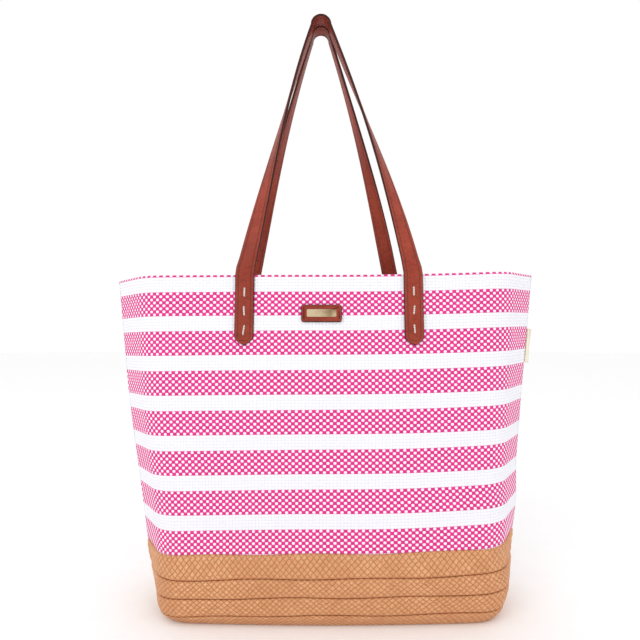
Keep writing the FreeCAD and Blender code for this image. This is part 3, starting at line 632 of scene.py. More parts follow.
class Beads:
    """A run of small rounded stitches or teeth, all copies of one bead."""

    def __init__(self) -> None:
        """Makes the bead that is copied."""
        mesh = bmesh.new()
        bmesh.ops.create_uvsphere(mesh, u_segments=6, v_segments=4, radius=1.0)
        bmesh.ops.recalc_face_normals(mesh, faces=mesh.faces)
        self.points = np.array([v.co for v in mesh.verts])
        self.faces = [[v.index for v in f.verts] for f in mesh.faces]
        mesh.free()
        self.placed: list[np.ndarray] = []

    def add(self, centre: Vector, along: Vector, out: Vector, size: Vector) -> None:
        """Adds one bead.

        Args:
            centre: its middle.
            along: its long direction.
            out: the direction away from the surface.
            size: half its length, half its width and half its height.
        """
        along = along.normalized()
        out = (out - along * out.dot(along)).normalized()
        wide = out.cross(along)
        axes = np.array((wide * size.y, out * size.z, along * size.x))
        self.placed.append(self.points @ axes + np.array(centre))

    def mesh(self) -> bmesh.types.BMesh:
        """Every bead in one mesh."""
        count = len(self.points)
        faces = [[k * count + v for v in face] for k in range(len(self.placed))
                 for face in self.faces]
        data = bpy.data.meshes.new("beads")
        data.from_pydata(np.concatenate(self.placed).tolist(), [], faces)
        made = bmesh.new()
        made.from_mesh(data)
        bpy.data.meshes.remove(data)
        return made


# ------------------------------------------------------------------- bag outline


@dataclass(frozen=True)
class Level:
    """Outline of the bag at one height, in metres and degrees."""

    z: float
    seam: float
    side: float
    corner: float
    bulge: float
    depth: float

    def parts(self) -> tuple[float, ...]:
        """Values that blend from level to level; the bulge blends as a curvature."""
        return (self.seam, self.side, self.corner, 1 / self.bulge, self.depth)


@dataclass(frozen=True)
class Section:
    """The front half outline at one height: bulging front, rounded corner, straight side."""

    seam: float
    angle: float
    corner: float
    bulge: float
    depth: float
    front_turn: float
    front_run: float
    corner_run: float
    half: float

    def point(self, s: float, inset: float) -> tuple[float, float, float, float]:
        """Position and outward direction at a distance along the outline.

        Args:
            s: distance from the middle of the front, negative to the left.
            inset: how far inside the outline the point lies.

        Returns:
            X, Y and the outward direction's X and Y, for the front half.
        """
        sign = -1 if s < 0 else 1
        reach = min(abs(s), self.half - inset / math.tan(self.angle))
        if reach <= self.front_run:
            turn = reach / self.bulge
            x, y = self.bulge * math.sin(turn), self.bulge * (1 - math.cos(turn)) - self.depth
            nx, ny = math.sin(turn), -math.cos(turn)
        else:
            start = self.front_turn
            mx = (self.bulge - self.corner) * math.sin(start)
            my = self.bulge - self.depth - (self.bulge - self.corner) * math.cos(start)
            turn = start + min(reach - self.front_run, self.corner_run) / self.corner
            nx, ny = math.sin(turn), -math.cos(turn)
            x, y = mx + self.corner * nx, my + self.corner * ny
            run = max(0.0, reach - self.front_run - self.corner_run)
            x, y = x + run * math.cos(self.angle), y + run * math.sin(self.angle)
        return sign * (x - nx * inset), y - ny * inset, sign * nx, ny


@dataclass
class BagShape:
    """The soft shell as a surface: any height, any distance round, any depth into the wall."""

    rim: float
    levels: tuple[Level, ...] = ()
    sections: dict[int, Section] = field(default_factory=dict)
    grain: float = 0.0001  # heights are remembered to this step

    def __post_init__(self) -> None:
        """Sets the levels from the foot to the rim."""
        self.levels = (
            Level(0.0, 0.190, 78, 0.028, 2.5, 0.062),
            Level(0.015, 0.202, 75, 0.034, 2.5, 0.071),
            Level(0.084, 0.2264, 60, 0.045, 1.5, 0.0745),
            Level(0.250, 0.2415, 54, 0.050, 1.25, 0.074),
            Level(self.rim, 0.254, 48, 0.050, 6.0, 0.0585),
        )

    def section(self, z: float) -> Section:
        """The outline at a height, worked out once for each height."""
        key = round(z / self.grain)
        if key not in self.sections:
            self.sections[key] = self._cut(key * self.grain)
        return self.sections[key]

    def _cut(self, z: float) -> Section:
        """Blends the levels round a height and solves the outline there."""
        z = min(max(z, self.levels[0].z), self.levels[-1].z)
        high = next(k for k in range(1, len(self.levels)) if z <= self.levels[k].z)
        values = [self._blend(high, z, k) for k in range(len(self.levels[0].parts()))]
        seam, side, corner, curve, depth = values
        angle, bulge = math.radians(side), 1 / curve
        reach = Vector((seam - math.sin(angle) * corner,
                        math.cos(angle) * corner - (bulge - depth)))
        along = Vector((-math.cos(angle), -math.sin(angle)))
        half = reach.dot(along)
        run = -half + math.sqrt(half ** 2 - reach.length_squared + (bulge - corner) ** 2)
        centre = reach + along * run
        front_turn = math.atan2(centre.x, -centre.y)
        front_run = bulge * front_turn
        corner_run = corner * (angle - front_turn)
        return Section(seam, angle, corner, bulge, depth, front_turn, front_run, corner_run,
                       front_run + corner_run + run)

    def _blend(self, high: int, z: float, part: int) -> float:
        """One value at a height, on a curve through the levels that never overshoots."""
        def slope(k: int) -> float:
            rise = self.levels[k + 1].z - self.levels[k].z
            return (self.levels[k + 1].parts()[part] - self.levels[k].parts()[part]) / rise

        def tangent(k: int) -> float:
            if k in (0, len(self.levels) - 1):
                return slope(min(k, len(self.levels) - 2))
            before, after = slope(k - 1), slope(k)
            if before * after <= 0:
                return 0.0
            return 2 * before * after / (before + after)

        low = high - 1
        start, end = self.levels[low], self.levels[high]
        span = end.z - start.z
        t = (z - start.z) / span
        first, last = start.parts()[part], end.parts()[part]
        return ((2 * t ** 3 - 3 * t ** 2 + 1) * first + (t ** 3 - 2 * t ** 2 + t) * span
                * tangent(low) + (3 * t ** 2 - 2 * t ** 3) * last
                + (t ** 3 - t ** 2) * span * tangent(high))

    def wall(self, s: float, z: float, inset: float = 0.0, side: Side = Side.FRONT) -> Vector:
        """A point of the wall, after the soft bag has settled.

        Args:
            s: distance round from the middle of that side.
            z: height before settling.
            inset: depth into the wall, negative to stand proud of it.
            side: front or rear half.

        Returns:
            The point, in metres.
        """
        x, y, _, _ = self.section(z).point(s, inset)
        return self.settle(Vector((x, -y * side.value, z)))

    def outward(self, s: float, z: float, side: Side = Side.FRONT) -> Vector:
        """Direction straight out of the wall at a point."""
        here = self.wall(s, z, 0.0, side)
        step = 0.002
        up = self.wall(s, z + step, 0.0, side) - self.wall(s, z - step, 0.0, side)
        over = self.wall(s + step, z, 0.0, side) - self.wall(s - step, z, 0.0, side)
        out = over.cross(up) * -side.value
        return out.normalized() if out.length else here.normalized()

    def settle(self, point: Vector) -> Vector:
        """Moves a point as the soft bag slumps: uneven rim, lower left foot, gentle ripples."""
        x, y, z = point
        far = x / self.levels[-1].seam
        high = ease((z - 0.09) / (self.rim - 0.09))
        low = ease(z / 0.022)
        if x > 0:
            lift = (0.0035 * low * (1 - high) + 0.0068 * high) * far ** 2
        else:
            lift = (-0.0125 * low * (1 - high) - 0.0005 * high) * far ** 2
        left, right = ease(-x / 0.2), ease(x / 0.2)
        slump = (0.0078 * left * ease((z + 0.01) / 0.10) * ease((0.27 - z) / 0.16)
                 + 0.0040 * right * ease((0.17 - z) / 0.06)
                 + 0.0090 * right * ease((0.075 - z) / 0.045))
        ripple = math.sin(x * 17 + 0.6) * math.sin(z * 14 + 1.1) + 0.6 * math.sin(x * 31 - z * 9)
        loose = ease(abs(y) / 0.03) * ease((z - 0.06) / 0.08) * (1 - 0.5 * high)
        push = 0.0010 * ripple * loose * (1 if y > 0 else -1)
        return Vector((x + slump, y + push, z + lift))

    def ring(self, u: float, z: float, inset: float, soften: float) -> Vector:
        """A point of a ring right round the bag, its seam corners softened.

        Args:
            u: share of the way round, from the left seam across the front.
            z: height.
            inset: depth into the wall.
            soften: distance over which the corners are rounded.

        Returns:
            The point, in metres.
        """
        half = self.section(z).half
        total = Vector((0, 0, 0))
        for shift in (-soften, 0.0, soften):
            along = (u * 4 * half + shift) % (4 * half)
            side = Side.FRONT if along <= 2 * half else Side.REAR
            s = along - half if side is Side.FRONT else 3 * half - along
            total += self.wall(s, z, inset, side)
        return total / 3


# ------------------------------------------------------------------ woven panels


@dataclass
class WovenShell:
    """Front and rear straw panels, each one cloth folded over at the rim as a hem."""

    shape: BagShape
    finishes: Finishes
    strand: float = 0.00383
    row: float = 0.003335
    fold_radius: float = 0.00195
    first_row: float = 0.77   # rows counted down to where the fold begins
    hem_rows: float = 11.4
    foot: float = 0.080
    thick: float = 0.0014
    hidden_rows: int = 12
    crest: float = 0.00034    # how far a float stands out of the cloth

    def profile(self, v: float) -> tuple[float, float]:
        """Depth into the wall and height of a row, counted down from the rim."""
        start = self.shape.rim - self.fold_radius
        turn = (self.first_row - v) * self.row / self.fold_radius
        if turn <= 0:
            return 0.0, start + turn * self.fold_radius
        if turn <= math.pi:
            return (self.fold_radius * (1 - math.cos(turn)),
                    start + self.fold_radius * math.sin(turn))
        return 2 * self.fold_radius, start - (turn - math.pi) * self.fold_radius

    def panel(self, side: Side) -> bpy.types.Object:
        """One panel: outer face, fold, hem, and the hidden inner face behind them."""
        shape = self.shape
        lowest = (shape.rim - self.fold_radius - self.foot) / self.row + self.first_row
        shown = lowest + self.hem_rows
        shown_faces = round(shown * 2)
        total = shown_faces + self.hidden_rows
        hem_low = self.profile(-self.hem_rows)[1]
        cells = math.ceil(shape.section(shape.rim).half / self.strand)

        def row_at(v: float) -> float:
            return lowest - v * total / 2

        def place(u: float, v: float) -> Vector:
            count = (2 * u - 1) * cells
            step = v * total
            if step <= shown_faces + 0.01:
                row = row_at(v)
                inset, z = self.profile(row)
                weave = abs(math.sin(math.pi * (count + 0.5)) * math.sin(math.pi * (row + 0.5)))
                peak = abs(math.sin(math.pi * count) * math.sin(math.pi * row))
                lift = self.crest * (peak - weave)
                inset += lift if inset > self.fold_radius else -lift
            else:
                share = (step - shown_faces) / self.hidden_rows
                inset = self.thick if share < 1 else 0.0
                z = hem_low - 0.001 - (hem_low - self.foot) * min(1.0, share)
                z = max(z, self.foot)
            return shape.wall(count * self.strand, z, inset, side)

        def mark(u: float, v: float) -> tuple[float, float]:
            return (2 * u - 1) * cells, row_at(v)

        mesh = shaped_grid(4 * cells, total, place, mark)
        close_up(mesh)
        word = side.name.lower()
        return on_bag(f"{word}_woven_panel", mesh, self.finishes.weave,
                      [f"{word}_panel"])

    def build(self) -> None:
        """Both panels."""
        for side in Side:
            self.panel(side)


# ------------------------------------------------------------------- braided foot


@dataclass
class BraidedFoot:
    """Rows of flat straw braid round the foot and rings of it under the base."""

    shape: BagShape
    finishes: Finishes
    thick: float = 0.0026
    lap: float = 0.0001
    pitch: float = 0.0068       # one diamond along the braid
    diamonds: float = 3.5       # diamonds across a braid
    across_faces: int = 22
    back_faces: int = 4
    step: float = 0.0011
    wander: float = 0.0007      # how far a row's edge strays up and down
    crest: float = 0.0006
    base_ring: float = 0.0205
    soften: float = 0.006

    def relief(self, first: float, second: float) -> float:
        """Height of the braid's surface, 0 in a gap and 1 on a strand's crown."""
        turned = (math.floor(first) + math.floor(second)) % 2
        share_a, share_b = first % 1.0, second % 1.0
        across, along = (share_a, share_b) if turned else (share_b, share_a)
        crown = math.sin(math.pi * across) ** 0.6
        return crown * (0.55 + 0.45 * math.sin(math.pi * along) ** 0.7)

    def strip(self, name: str, length: float, place: Callable[[float, float, float], Vector],
              nodes: Iterable[str]) -> bpy.types.Object:
        """One ring of braid.

        Args:
            name: the piece's name.
            length: distance round the ring.
            place: position from the shares round and across, and the height off its back.
            nodes: the CAD pieces it stands for.

        Returns:
            The finished ring.
        """
        count = 2 * round(length / self.pitch / 2)
        around = count * round(self.pitch / self.step)
        total = self.across_faces + self.back_faces

        def strands(u: float, share: float) -> tuple[float, float]:
            run, rise = u * count, share * self.diamonds
            return run + rise, run - rise + 40.0

        def share_of(v: float) -> tuple[float, bool]:
            step = v * total
            if step <= self.across_faces:
                return step / self.across_faces, True
            return 1 - (step - self.across_faces) / self.back_faces, False

        def put(u: float, v: float) -> Vector:
            share, shown = share_of(v)
            if not shown:
                return place(u % 1.0, share, 0.0)
            pillow = (1 - abs(2 * share - 1) ** 5) ** 0.5
            height = self.thick * (0.25 + 0.75 * pillow) - self.crest
            height += self.crest * self.relief(*strands(u % 1.0, share)) * pillow
            return place(u % 1.0, share, max(height, 0.0))

        def mark(u: float, v: float) -> tuple[float, float]:
            return strands(u, share_of(v)[0])

        mesh = shaped_grid(around, total, put, mark)
        close_up(mesh)
        return on_bag(name, mesh, self.finishes.braid, nodes)

    def row(self, number: int) -> bpy.types.Object:
        """One braid row, between the heights of its CAD piece."""
        node = f"braid_row_{number}"
        low, high = cad_box(node)
        middle = (low.z + high.z) / 2

        def place(u: float, share: float, height: float) -> Vector:
            z = low.z + (high.z - low.z) * share
            z += self.wander * math.sin(u * 16 * math.pi + z * 100) * ease(z / 0.012)
            return self.shape.ring(u, z, -self.lap - height, self.soften)

        length = 4 * self.shape.section(middle).half
        return self.strip(f"straw_braid_{number}", length, place, [node])

    def base(self, number: int, node: str) -> bpy.types.Object:
        """One flat ring of braid under the bag, counted from the outside."""
        outer = (self.base_ring + self.lap) * number + self.lap
        deepest = self.shape.levels[0].depth - 0.0006
        inner = min(outer + self.base_ring, deepest)

        def place(u: float, share: float, height: float) -> Vector:
            inset = outer + (inner - outer) * share
            point = self.shape.ring(u, 0.0, inset, self.soften)
            point.z = self.thick - height
            return point

        length = 4 * (self.shape.section(0.0).half - outer)
        return self.strip(f"straw_base_{node}", length, place, [f"base_braid_{node}"])

    def build(self) -> None:
        """Four rows and three base rings."""
        for number in range(1, 5):
            self.row(number)
        for number, node in enumerate(("outer", "middle", "centre")):
            self.base(number, node)
        dress("base_board", self.finishes.board)


# ------------------------------------------------------------------------ straps


@dataclass(frozen=True)
class Station:
    """One place along a strap."""

    centre: Vector
    wide: Vector
    out: Vector
    half: float
    thick: float
    along: float


@dataclass
class Handles:
    """Two leather straps, each one piece from sewn end over the loop to sewn end."""

    shape: BagShape
    finishes: Finishes
    strap_x: float = 0.094
    loop_half: float = 0.010
    tab_half: float = 0.01075
    half_thick: float = 0.0015
    tab_long: float = 0.079
    point_long: float = 0.0100
    rim_gap: float = 0.0025
    rise: float = 0.3125
    bend: float = 0.011
    apex_y: float = 0.011
    bow: float = 0.020
    groove: float = 0.0038
    stitch_pitch: float = 0.0036
    clear: float = 0.0001      # between a strap and the wall behind it
    straight: float = 0.94     # share of a leg below the bend at its top
    row_drop: float = 0.0085   # from the rim down to the cross row
    front_sway: tuple[float, float] = (0.0034, -0.0055)
    rear_sway: tuple[float, float] = (-0.0045, -0.0055)

    def sway(self, side: Side, share: float) -> float:
        """Sideways lean of the loops, from the rim to the top."""
        start, end = self.front_sway if side is Side.FRONT else self.rear_sway
        return start + (end - start) * ease(share ** 1.2)

    def leg(self, share: float) -> tuple[Vector, Vector, Vector]:
        """Centre, width and outward direction of the front strap's right leg."""
        rim_y = self.shape.section(self.shape.rim).point(self.strap_x, 0.0)[1]
        root = Vector((self.strap_x, rim_y - self.half_thick - self.clear,
                       self.shape.rim + self.rim_gap))
        end = Vector((self.bend, -self.apex_y, root.z + self.rise - self.bend))
        if share <= self.straight:
            t = share / self.straight
            centre = root.lerp(end, t) + Vector((self.bow * t * (1 - t), 0, 0))
            tangent = (end - root + Vector((self.bow * (1 - 2 * t), 0, 0))).normalized()
        else:
            turn = (share - self.straight) / (1 - self.straight) * math.pi / 2
            centre = end + Vector((self.bend * (math.cos(turn) - 1), 0, self.bend * math.sin(turn)))
            tangent = Vector((-math.sin(turn), 0, math.cos(turn)))
        twist = math.sin(min(1.0, share / self.straight) * math.pi / 2) * math.pi / 2
        away = (BACKWARD - tangent * BACKWARD.dot(tangent)).normalized()
        wide = away.cross(tangent) * math.cos(twist) + away * math.sin(twist)
        return centre, wide, wide.cross(tangent)

    def tab(self, rise: float) -> tuple[Vector, Vector, Vector]:
        """The same for the sewn end, at a height above its tip."""
        z = self.shape.rim - self.tab_long + rise
        s = self.strap_x
        x, y, _, _ = self.shape.section(z).point(s, -self.half_thick - self.clear)
        out = self.shape.outward(s, min(z, self.shape.rim - 0.003))
        return Vector((x, y, z)), RIGHT, out

    def stations(self, side: Side) -> list[Station]:
        """Every place along one strap, from the left tip to the right tip."""
        half_side: list[tuple[Vector, Vector, Vector, float, float, float, float]] = []
        tab_steps, leg_steps = 34, 96
        along, last = 0.0, None
        for k in range(tab_steps + leg_steps + 1):
            if k <= tab_steps:
                rise = self.tab_long * (k / tab_steps) ** 1.25
                centre, wide, out = self.tab(rise)
                tip = min(1.0, rise / self.point_long)
                half = self.tab_half * (0.04 + 0.96 * math.sin(tip * math.pi / 2) ** 0.8)
                thick = self.half_thick * (0.35 + 0.65 * ease(rise / 0.0012))
                lean = self.sway(side, 0.0)
            else:
                share = (k - tab_steps) / leg_steps
                centre, wide, out = self.leg(share)
                narrow = ease(share / 0.06)
                half = self.tab_half + (self.loop_half - self.tab_half) * narrow
                thick = self.half_thick
                lean = self.sway(side, share)
            along += (centre - last).length if last is not None else 0.0
            last = centre.copy()
            half_side.append((centre, wide, out, half, thick, along, lean))
        top = half_side[-1][5]
        made = [self._turned(*place, -1, side) for place in half_side]
        for centre, wide, out, half, thick, run, lean in reversed(half_side[:-1]):
            made.append(self._turned(centre, wide, out, half, thick, 2 * top - run, lean, 1, side))
        return made

    def _turned(self, centre: Vector, wide: Vector, out: Vector, half: float, thick: float,
                along: float, lean: float, leg: int, side: Side) -> Station:
        """A place of the right front leg, carried to the asked leg and strap."""
        flip = Vector((leg, 1 if side is Side.FRONT else -1, 1))
        put = Vector((centre.x * flip.x + lean, centre.y * flip.y, centre.z))
        face = Vector((out.x * flip.x, out.y * flip.y, out.z))
        across = Vector((wide.x * flip.x, wide.y * flip.y, wide.z)) * -1
        return Station(put, across, face, half, thick, along)

    def strap(self, side: Side) -> bpy.types.Object:
        """The strap's leather, with rounded edges, a raised middle and pressed stitch lines."""
        places = self.stations(side)
        last = len(places) - 1
        face_steps, back_steps = 44, 20
        around = face_steps + back_steps

        def section(u: float) -> tuple[float, float]:
            """Share across, -1 to 1, and 1 on the face or -1 on the back."""
            step = u * around
            if step <= face_steps:
                return -math.cos(step / face_steps * math.pi), 1.0
            return math.cos((step - face_steps) / back_steps * math.pi), -1.0

        def profile(w: float, facing: float, here: Station) -> float:
            edge = max(0.0, (abs(w) - 0.86) / 0.14)
            rise = here.thick * math.sqrt(max(0.0, 1 - edge ** 2))
            inside = (1 - abs(w)) * here.half
            line = bell(inside - self.groove, 0.0008)
            crown = ease((inside - self.groove) / 0.003)
            return facing * (rise - 0.0003 * line + 0.00022 * crown * min(1.0, here.half / 0.008))

        def place(u: float, v: float) -> Vector:
            here = places[round(v * last)]
            w, facing = section(u)
            return here.centre + here.wide * (w * here.half) + here.out * profile(w, facing, here)

        def mark(u: float, v: float) -> tuple[float, float]:
            here = places[round(v * last)]
            w, _ = section(u)
            tip = min(here.along, places[-1].along - here.along) * 0.8
            return min((1 - abs(w)) * here.half, tip), here.along

        mesh = shaped_grid(around, last, place, mark)
        close_up(mesh)
        name = side.name.lower()
        made = finished(f"{name}_strap", mesh, self.finishes.leather)
        self.hinge(made)
        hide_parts(f"{name}_strap_end_left", f"{name}_strap_end_right",
                    f"{name}_strap_face", f"{name}_strap_backing")
        return made

    def hinge(self, piece: bpy.types.Object) -> None:
        """Bakes a piece's placement into its mesh."""
        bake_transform(piece)

    def seams(self, side: Side) -> bpy.types.Object:
        """Machine stitches in both pressed lines, and the short rows across at the rim."""
        places = self.stations(side)
        mesh = Beads()
        size = Vector((0.00135, 0.00034, 0.00026))
        finish_at = places[-1].along
        mark, k = self.stitch_pitch * 2, 0
        while mark < finish_at - self.stitch_pitch * 2:
            while places[k + 1].along < mark:
                k += 1
            here, after = places[k], places[k + 1]
            share = (mark - here.along) / max(after.along - here.along, 1e-9)
            centre = here.centre.lerp(after.centre, share)
            wide = here.wide.lerp(after.wide, share)
            out = here.out.lerp(after.out, share)
            half = here.half + (after.half - here.half) * share
            along = after.centre - here.centre
            offset = half - self.groove
            if offset > 0.0012:
                slope = (after.half - here.half) / max(along.length, 1e-9)
                for edge in (-1, 1):
                    for facing in (-1, 1):
                        spot = centre + wide * (edge * offset) + out * (
                            facing * (self.half_thick - 0.00012))
                        mesh.add(spot, along.normalized() + wide * (edge * slope),
                                 out * facing, size)
            mark += self.stitch_pitch
        self._cross_rows(mesh, places, size)
        name = side.name.lower()
        made = finished(f"{name}_strap_seams", mesh.mesh(), self.finishes.brown_thread)
        self.hinge(made)
        return made

    def _cross_rows(self, mesh: Beads, places: list[Station], size: Vector) -> None:
        """A short stitched row across each strap end, a little below the rim."""
        height = self.shape.rim - self.row_drop
        half_way = len(places) // 2
        for part in (places[:half_way], places[half_way:]):
            here = min(part, key=lambda p: abs(p.centre.z - height))
            for k in range(-3, 4):
                spot = here.centre + here.wide * (k * 0.0019) + here.out * self.half_thick
                mesh.add(spot, here.wide, here.out, Vector((0.0008, size.y, size.z)))

    def hand_stitches(self, side: Side, left: bool) -> bpy.types.Object:
        """Three thick white stitches of two-ply yarn down one strap end."""
        name = side.name.lower()
        word = "left" if left else "right"
        node = f"{name}_stitches_{word}"
        low, high = cad_box(node)
        shown = 0.0114
        x = (low.x + high.x) / 2 + self.sway(side, 0.0)
        mesh = bmesh.new()
        drops = ((0.0076, 0.4), (0.0286, -5.0), (0.0497, 6.0))
        tilt_sign = 1 if left else -1
        for number, (drop, tilt) in enumerate(drops):
            middle = high.z - drop + 0.0014
            lean = math.radians(tilt * tilt_sign + number)
            self._yarn(mesh, side, x, middle, shown, lean)
        bmesh.ops.recalc_face_normals(mesh, faces=mesh.faces)
        return on_bag(f"{name}_yarn_{word}", mesh, self.finishes.white_thread,
                      [node])

    def _yarn(self, mesh: bmesh.types.BMesh, side: Side, x: float, middle: float,
              length: float, lean: float) -> None:
        """One stitch: two plies twisted together, both ends going down into the leather."""
        out = self.shape.outward(x, middle, side)
        base = self.shape.wall(x, middle, -2 * self.half_thick - 0.0002, side)
        up = (UP - out * UP.dot(out)).normalized()
        over = up.cross(out)
        along = up * math.cos(lean) + over * math.sin(lean)
        across = along.cross(out)
        ply, turns = 0.00058, 2.4
        for phase in (0.0, math.pi):
            def place(u: float, v: float, phase: float = phase) -> Vector:
                t = v - 0.5
                dive = 0.0016 * max(0.0, abs(t) * 2 - 0.72) / 0.28
                angle = turns * 2 * math.pi * v + phase
                centre = (base + along * (t * length) + out * (0.0005 - dive)
                          + across * (0.0005 * math.cos(angle))
                          + out * (0.00035 * math.sin(angle)))
                turn = 2 * math.pi * u
                return centre + across * (ply * math.cos(turn)) + out * (ply * math.sin(turn))

            tube = shaped_grid(10, 40, place, lambda u, v: (u, v))
            close_up(tube)
            absorb(mesh, tube)

    def build(self) -> None:
        """Straps, seams and hand stitches, front and rear."""
        for side in Side:
            self.strap(side)
            self.seams(side)
            for left in (True, False):
                self.hand_stitches(side, left)
                word = "left" if left else "right"
                dress(f"{side.name.lower()}_backer_{word}", self.finishes.lining)


# ------------------------------------------------------------------------- badge


@dataclass
class Badge:
    """Leather badge with a stitched border and a plate with a plain wave ornament."""

    shape: BagShape
    finishes: Finishes
    corner: float = 0.0030
    border: float = 0.0023
    stitch: float = 0.0021
    plate_corner: float = 0.0013
    pressed: float = 0.0002    # how far the border is pressed down
    padding: float = 0.0004    # how far the middle swells above it
    waves: int = 3

    def spot(self, x: float, z: float, lift: float) -> Vector:
        """A point over the front wall, lift metres out of it."""
        middle = self.centre
        out = self.shape.outward(middle.x, middle.z)
        up = (UP - out * UP.dot(out)).normalized()
        base = self.shape.wall(middle.x, middle.z)
        return base + RIGHT * (x - middle.x) + up * (z - middle.z) + out * lift

    @property
    def centre(self) -> Vector:
        """Middle of the badge's CAD piece."""
        low, high = cad_box("badge_patch")
        return (low + high) / 2

    def slab(self, wide: float, high: float, corner: float, thick: float,
             rounding: float) -> bmesh.types.BMesh:
        """A flat rounded rectangle with softened edges, lying in XZ, its face towards -Y."""
        mesh = bmesh.new()
        bmesh.ops.create_grid(mesh, x_segments=1, y_segments=1, size=0.5)
        bmesh.ops.scale(mesh, vec=(wide, high, 1), verts=mesh.verts)
        bmesh.ops.bevel(mesh, geom=mesh.verts[:], offset=corner, segments=7, profile=0.5,
                        affect="VERTICES", material=-1)
        raised = bmesh.ops.extrude_face_region(mesh, geom=mesh.faces[:])
        top = [g for g in raised["geom"] if isinstance(g, bmesh.types.BMVert)]
        bmesh.ops.translate(mesh, verts=top, vec=(0, 0, thick))
        upper = [e for e in mesh.edges if all(v in top for v in e.verts)]
        bmesh.ops.bevel(mesh, geom=upper, offset=rounding, segments=3, profile=0.5,
                        affect="EDGES", material=-1)
        bmesh.ops.recalc_face_normals(mesh, faces=mesh.faces)
        return mesh

    def lay(self, mesh: bmesh.types.BMesh, lift: float) -> None:
        """Moves a flat piece onto the wall."""
        middle = self.centre
        for vertex in mesh.verts:
            x, y, z = vertex.co
            vertex.co = self.spot(middle.x + x, middle.z + y, lift + z)

    def edge_map(self, mesh: bmesh.types.BMesh, wide: float, high: float) -> None:
        """Writes each corner's distance from the badge's edge into the pattern map."""
        chart = mesh.loops.layers.uv.new(PATTERN)
        for face in mesh.faces:
            for loop in face.loops:
                x, y, _ = loop.vert.co
                inside = min(wide / 2 - abs(x), high / 2 - abs(y))
                loop[chart].uv = (max(inside, 0.0), x + wide)

    def patch(self) -> bpy.types.Object:
        """The leather badge, its border pressed down round a padded middle."""
        low, high = cad_box("badge_patch")
        wide, tall = high.x - low.x, high.z - low.z
        mesh = self.slab(wide, tall, self.corner, 0.0023, 0.0007)
        face = max(mesh.faces, key=lambda f: f.calc_area() * (1 if f.normal.z > 0.5 else 0))
        bmesh.ops.inset_region(mesh, faces=[face], thickness=self.border, depth=-self.pressed)
        bmesh.ops.inset_region(mesh, faces=[face], thickness=0.0007, depth=self.padding)
        self.edge_map(mesh, wide, tall)
        self.lay(mesh, 0.0001)
        return on_bag("badge_leather", mesh, self.finishes.leather,
                      ["badge_patch"], smooth=False)

    def border_stitches(self) -> bpy.types.Object:
        """Dark stitches round the badge's border."""
        low, high = cad_box("badge_patch")
        half_w, half_h = (high.x - low.x) / 2 - self.stitch, (high.z - low.z) / 2 - self.stitch
        middle = self.centre
        pitch, corner = 0.0026, 0.0012
        mesh = Beads()
        out = self.shape.outward(middle.x, middle.z)
        for fixed, span, flat in ((half_h, half_w, True), (half_w, half_h, False)):
            count = max(2, round(2 * (span - corner) / pitch))
            for sign in (-1, 1):
                for k in range(count):
                    run = -span + corner + (k + 0.5) * 2 * (span - corner) / count
                    x, z = (run, sign * fixed) if flat else (sign * fixed, run)
                    spot = self.spot(middle.x + x, middle.z + z, 0.0024)
                    along = RIGHT if flat else UP
                    mesh.add(spot, along, out, Vector((0.00095, 0.0003, 0.00025)))
        return on_bag("badge_border_seam", mesh.mesh(), self.finishes.brown_thread)

    def plate(self) -> bpy.types.Object:
        """The gilt plate with a raised rim and a plain wave along it."""
        low, high = cad_box("badge_plate")
        wide, tall = high.x - low.x, 0.0086
        mesh = self.slab(wide, tall, self.plate_corner, 0.0011, 0.0003)
        face = max(mesh.faces, key=lambda f: f.calc_area() * (1 if f.normal.z > 0.5 else 0))
        bmesh.ops.inset_region(mesh, faces=[face], thickness=0.0006, depth=0.0)
        bmesh.ops.inset_region(mesh, faces=[face], thickness=0.0002, depth=-0.0002)
        for line in range(self.waves):
            self._wave(mesh, wide, (line - (self.waves - 1) / 2) * 0.0021, line)
        self.lay(mesh, 0.0024)
        return on_bag("badge_gilt_plate", mesh, self.finishes.gilt,
                      ["badge_plate"], smooth=False)

    def _wave(self, mesh: bmesh.types.BMesh, wide: float, level: float, line: int) -> None:
        """One raised wave line on the plate."""
        reach = wide / 2 - 0.0035 - 0.002 * line

        def place(u: float, v: float) -> Vector:
            x = (2 * v - 1) * reach
            swell = 0.00055 * math.sin(x * 1500 + line)
            turn = 2 * math.pi * u
            taper = math.sin(math.pi * v) ** 0.3 if 0 < v < 1 else 0.0
            return Vector((x, level + swell + 0.00026 * taper * math.cos(turn),
                           0.00092 + 0.00022 * taper * math.sin(turn)))

        tube = shaped_grid(8, 72, place, lambda u, v: (u, v))
        close_up(tube)
        absorb(mesh, tube)

    def build(self) -> None:
        """Badge, border seam and plate."""
        self.patch()
        self.border_stitches()
        self.plate()
        dress("badge_prongs", self.finishes.brass)


# ------------------------------------------------------------------------- inside


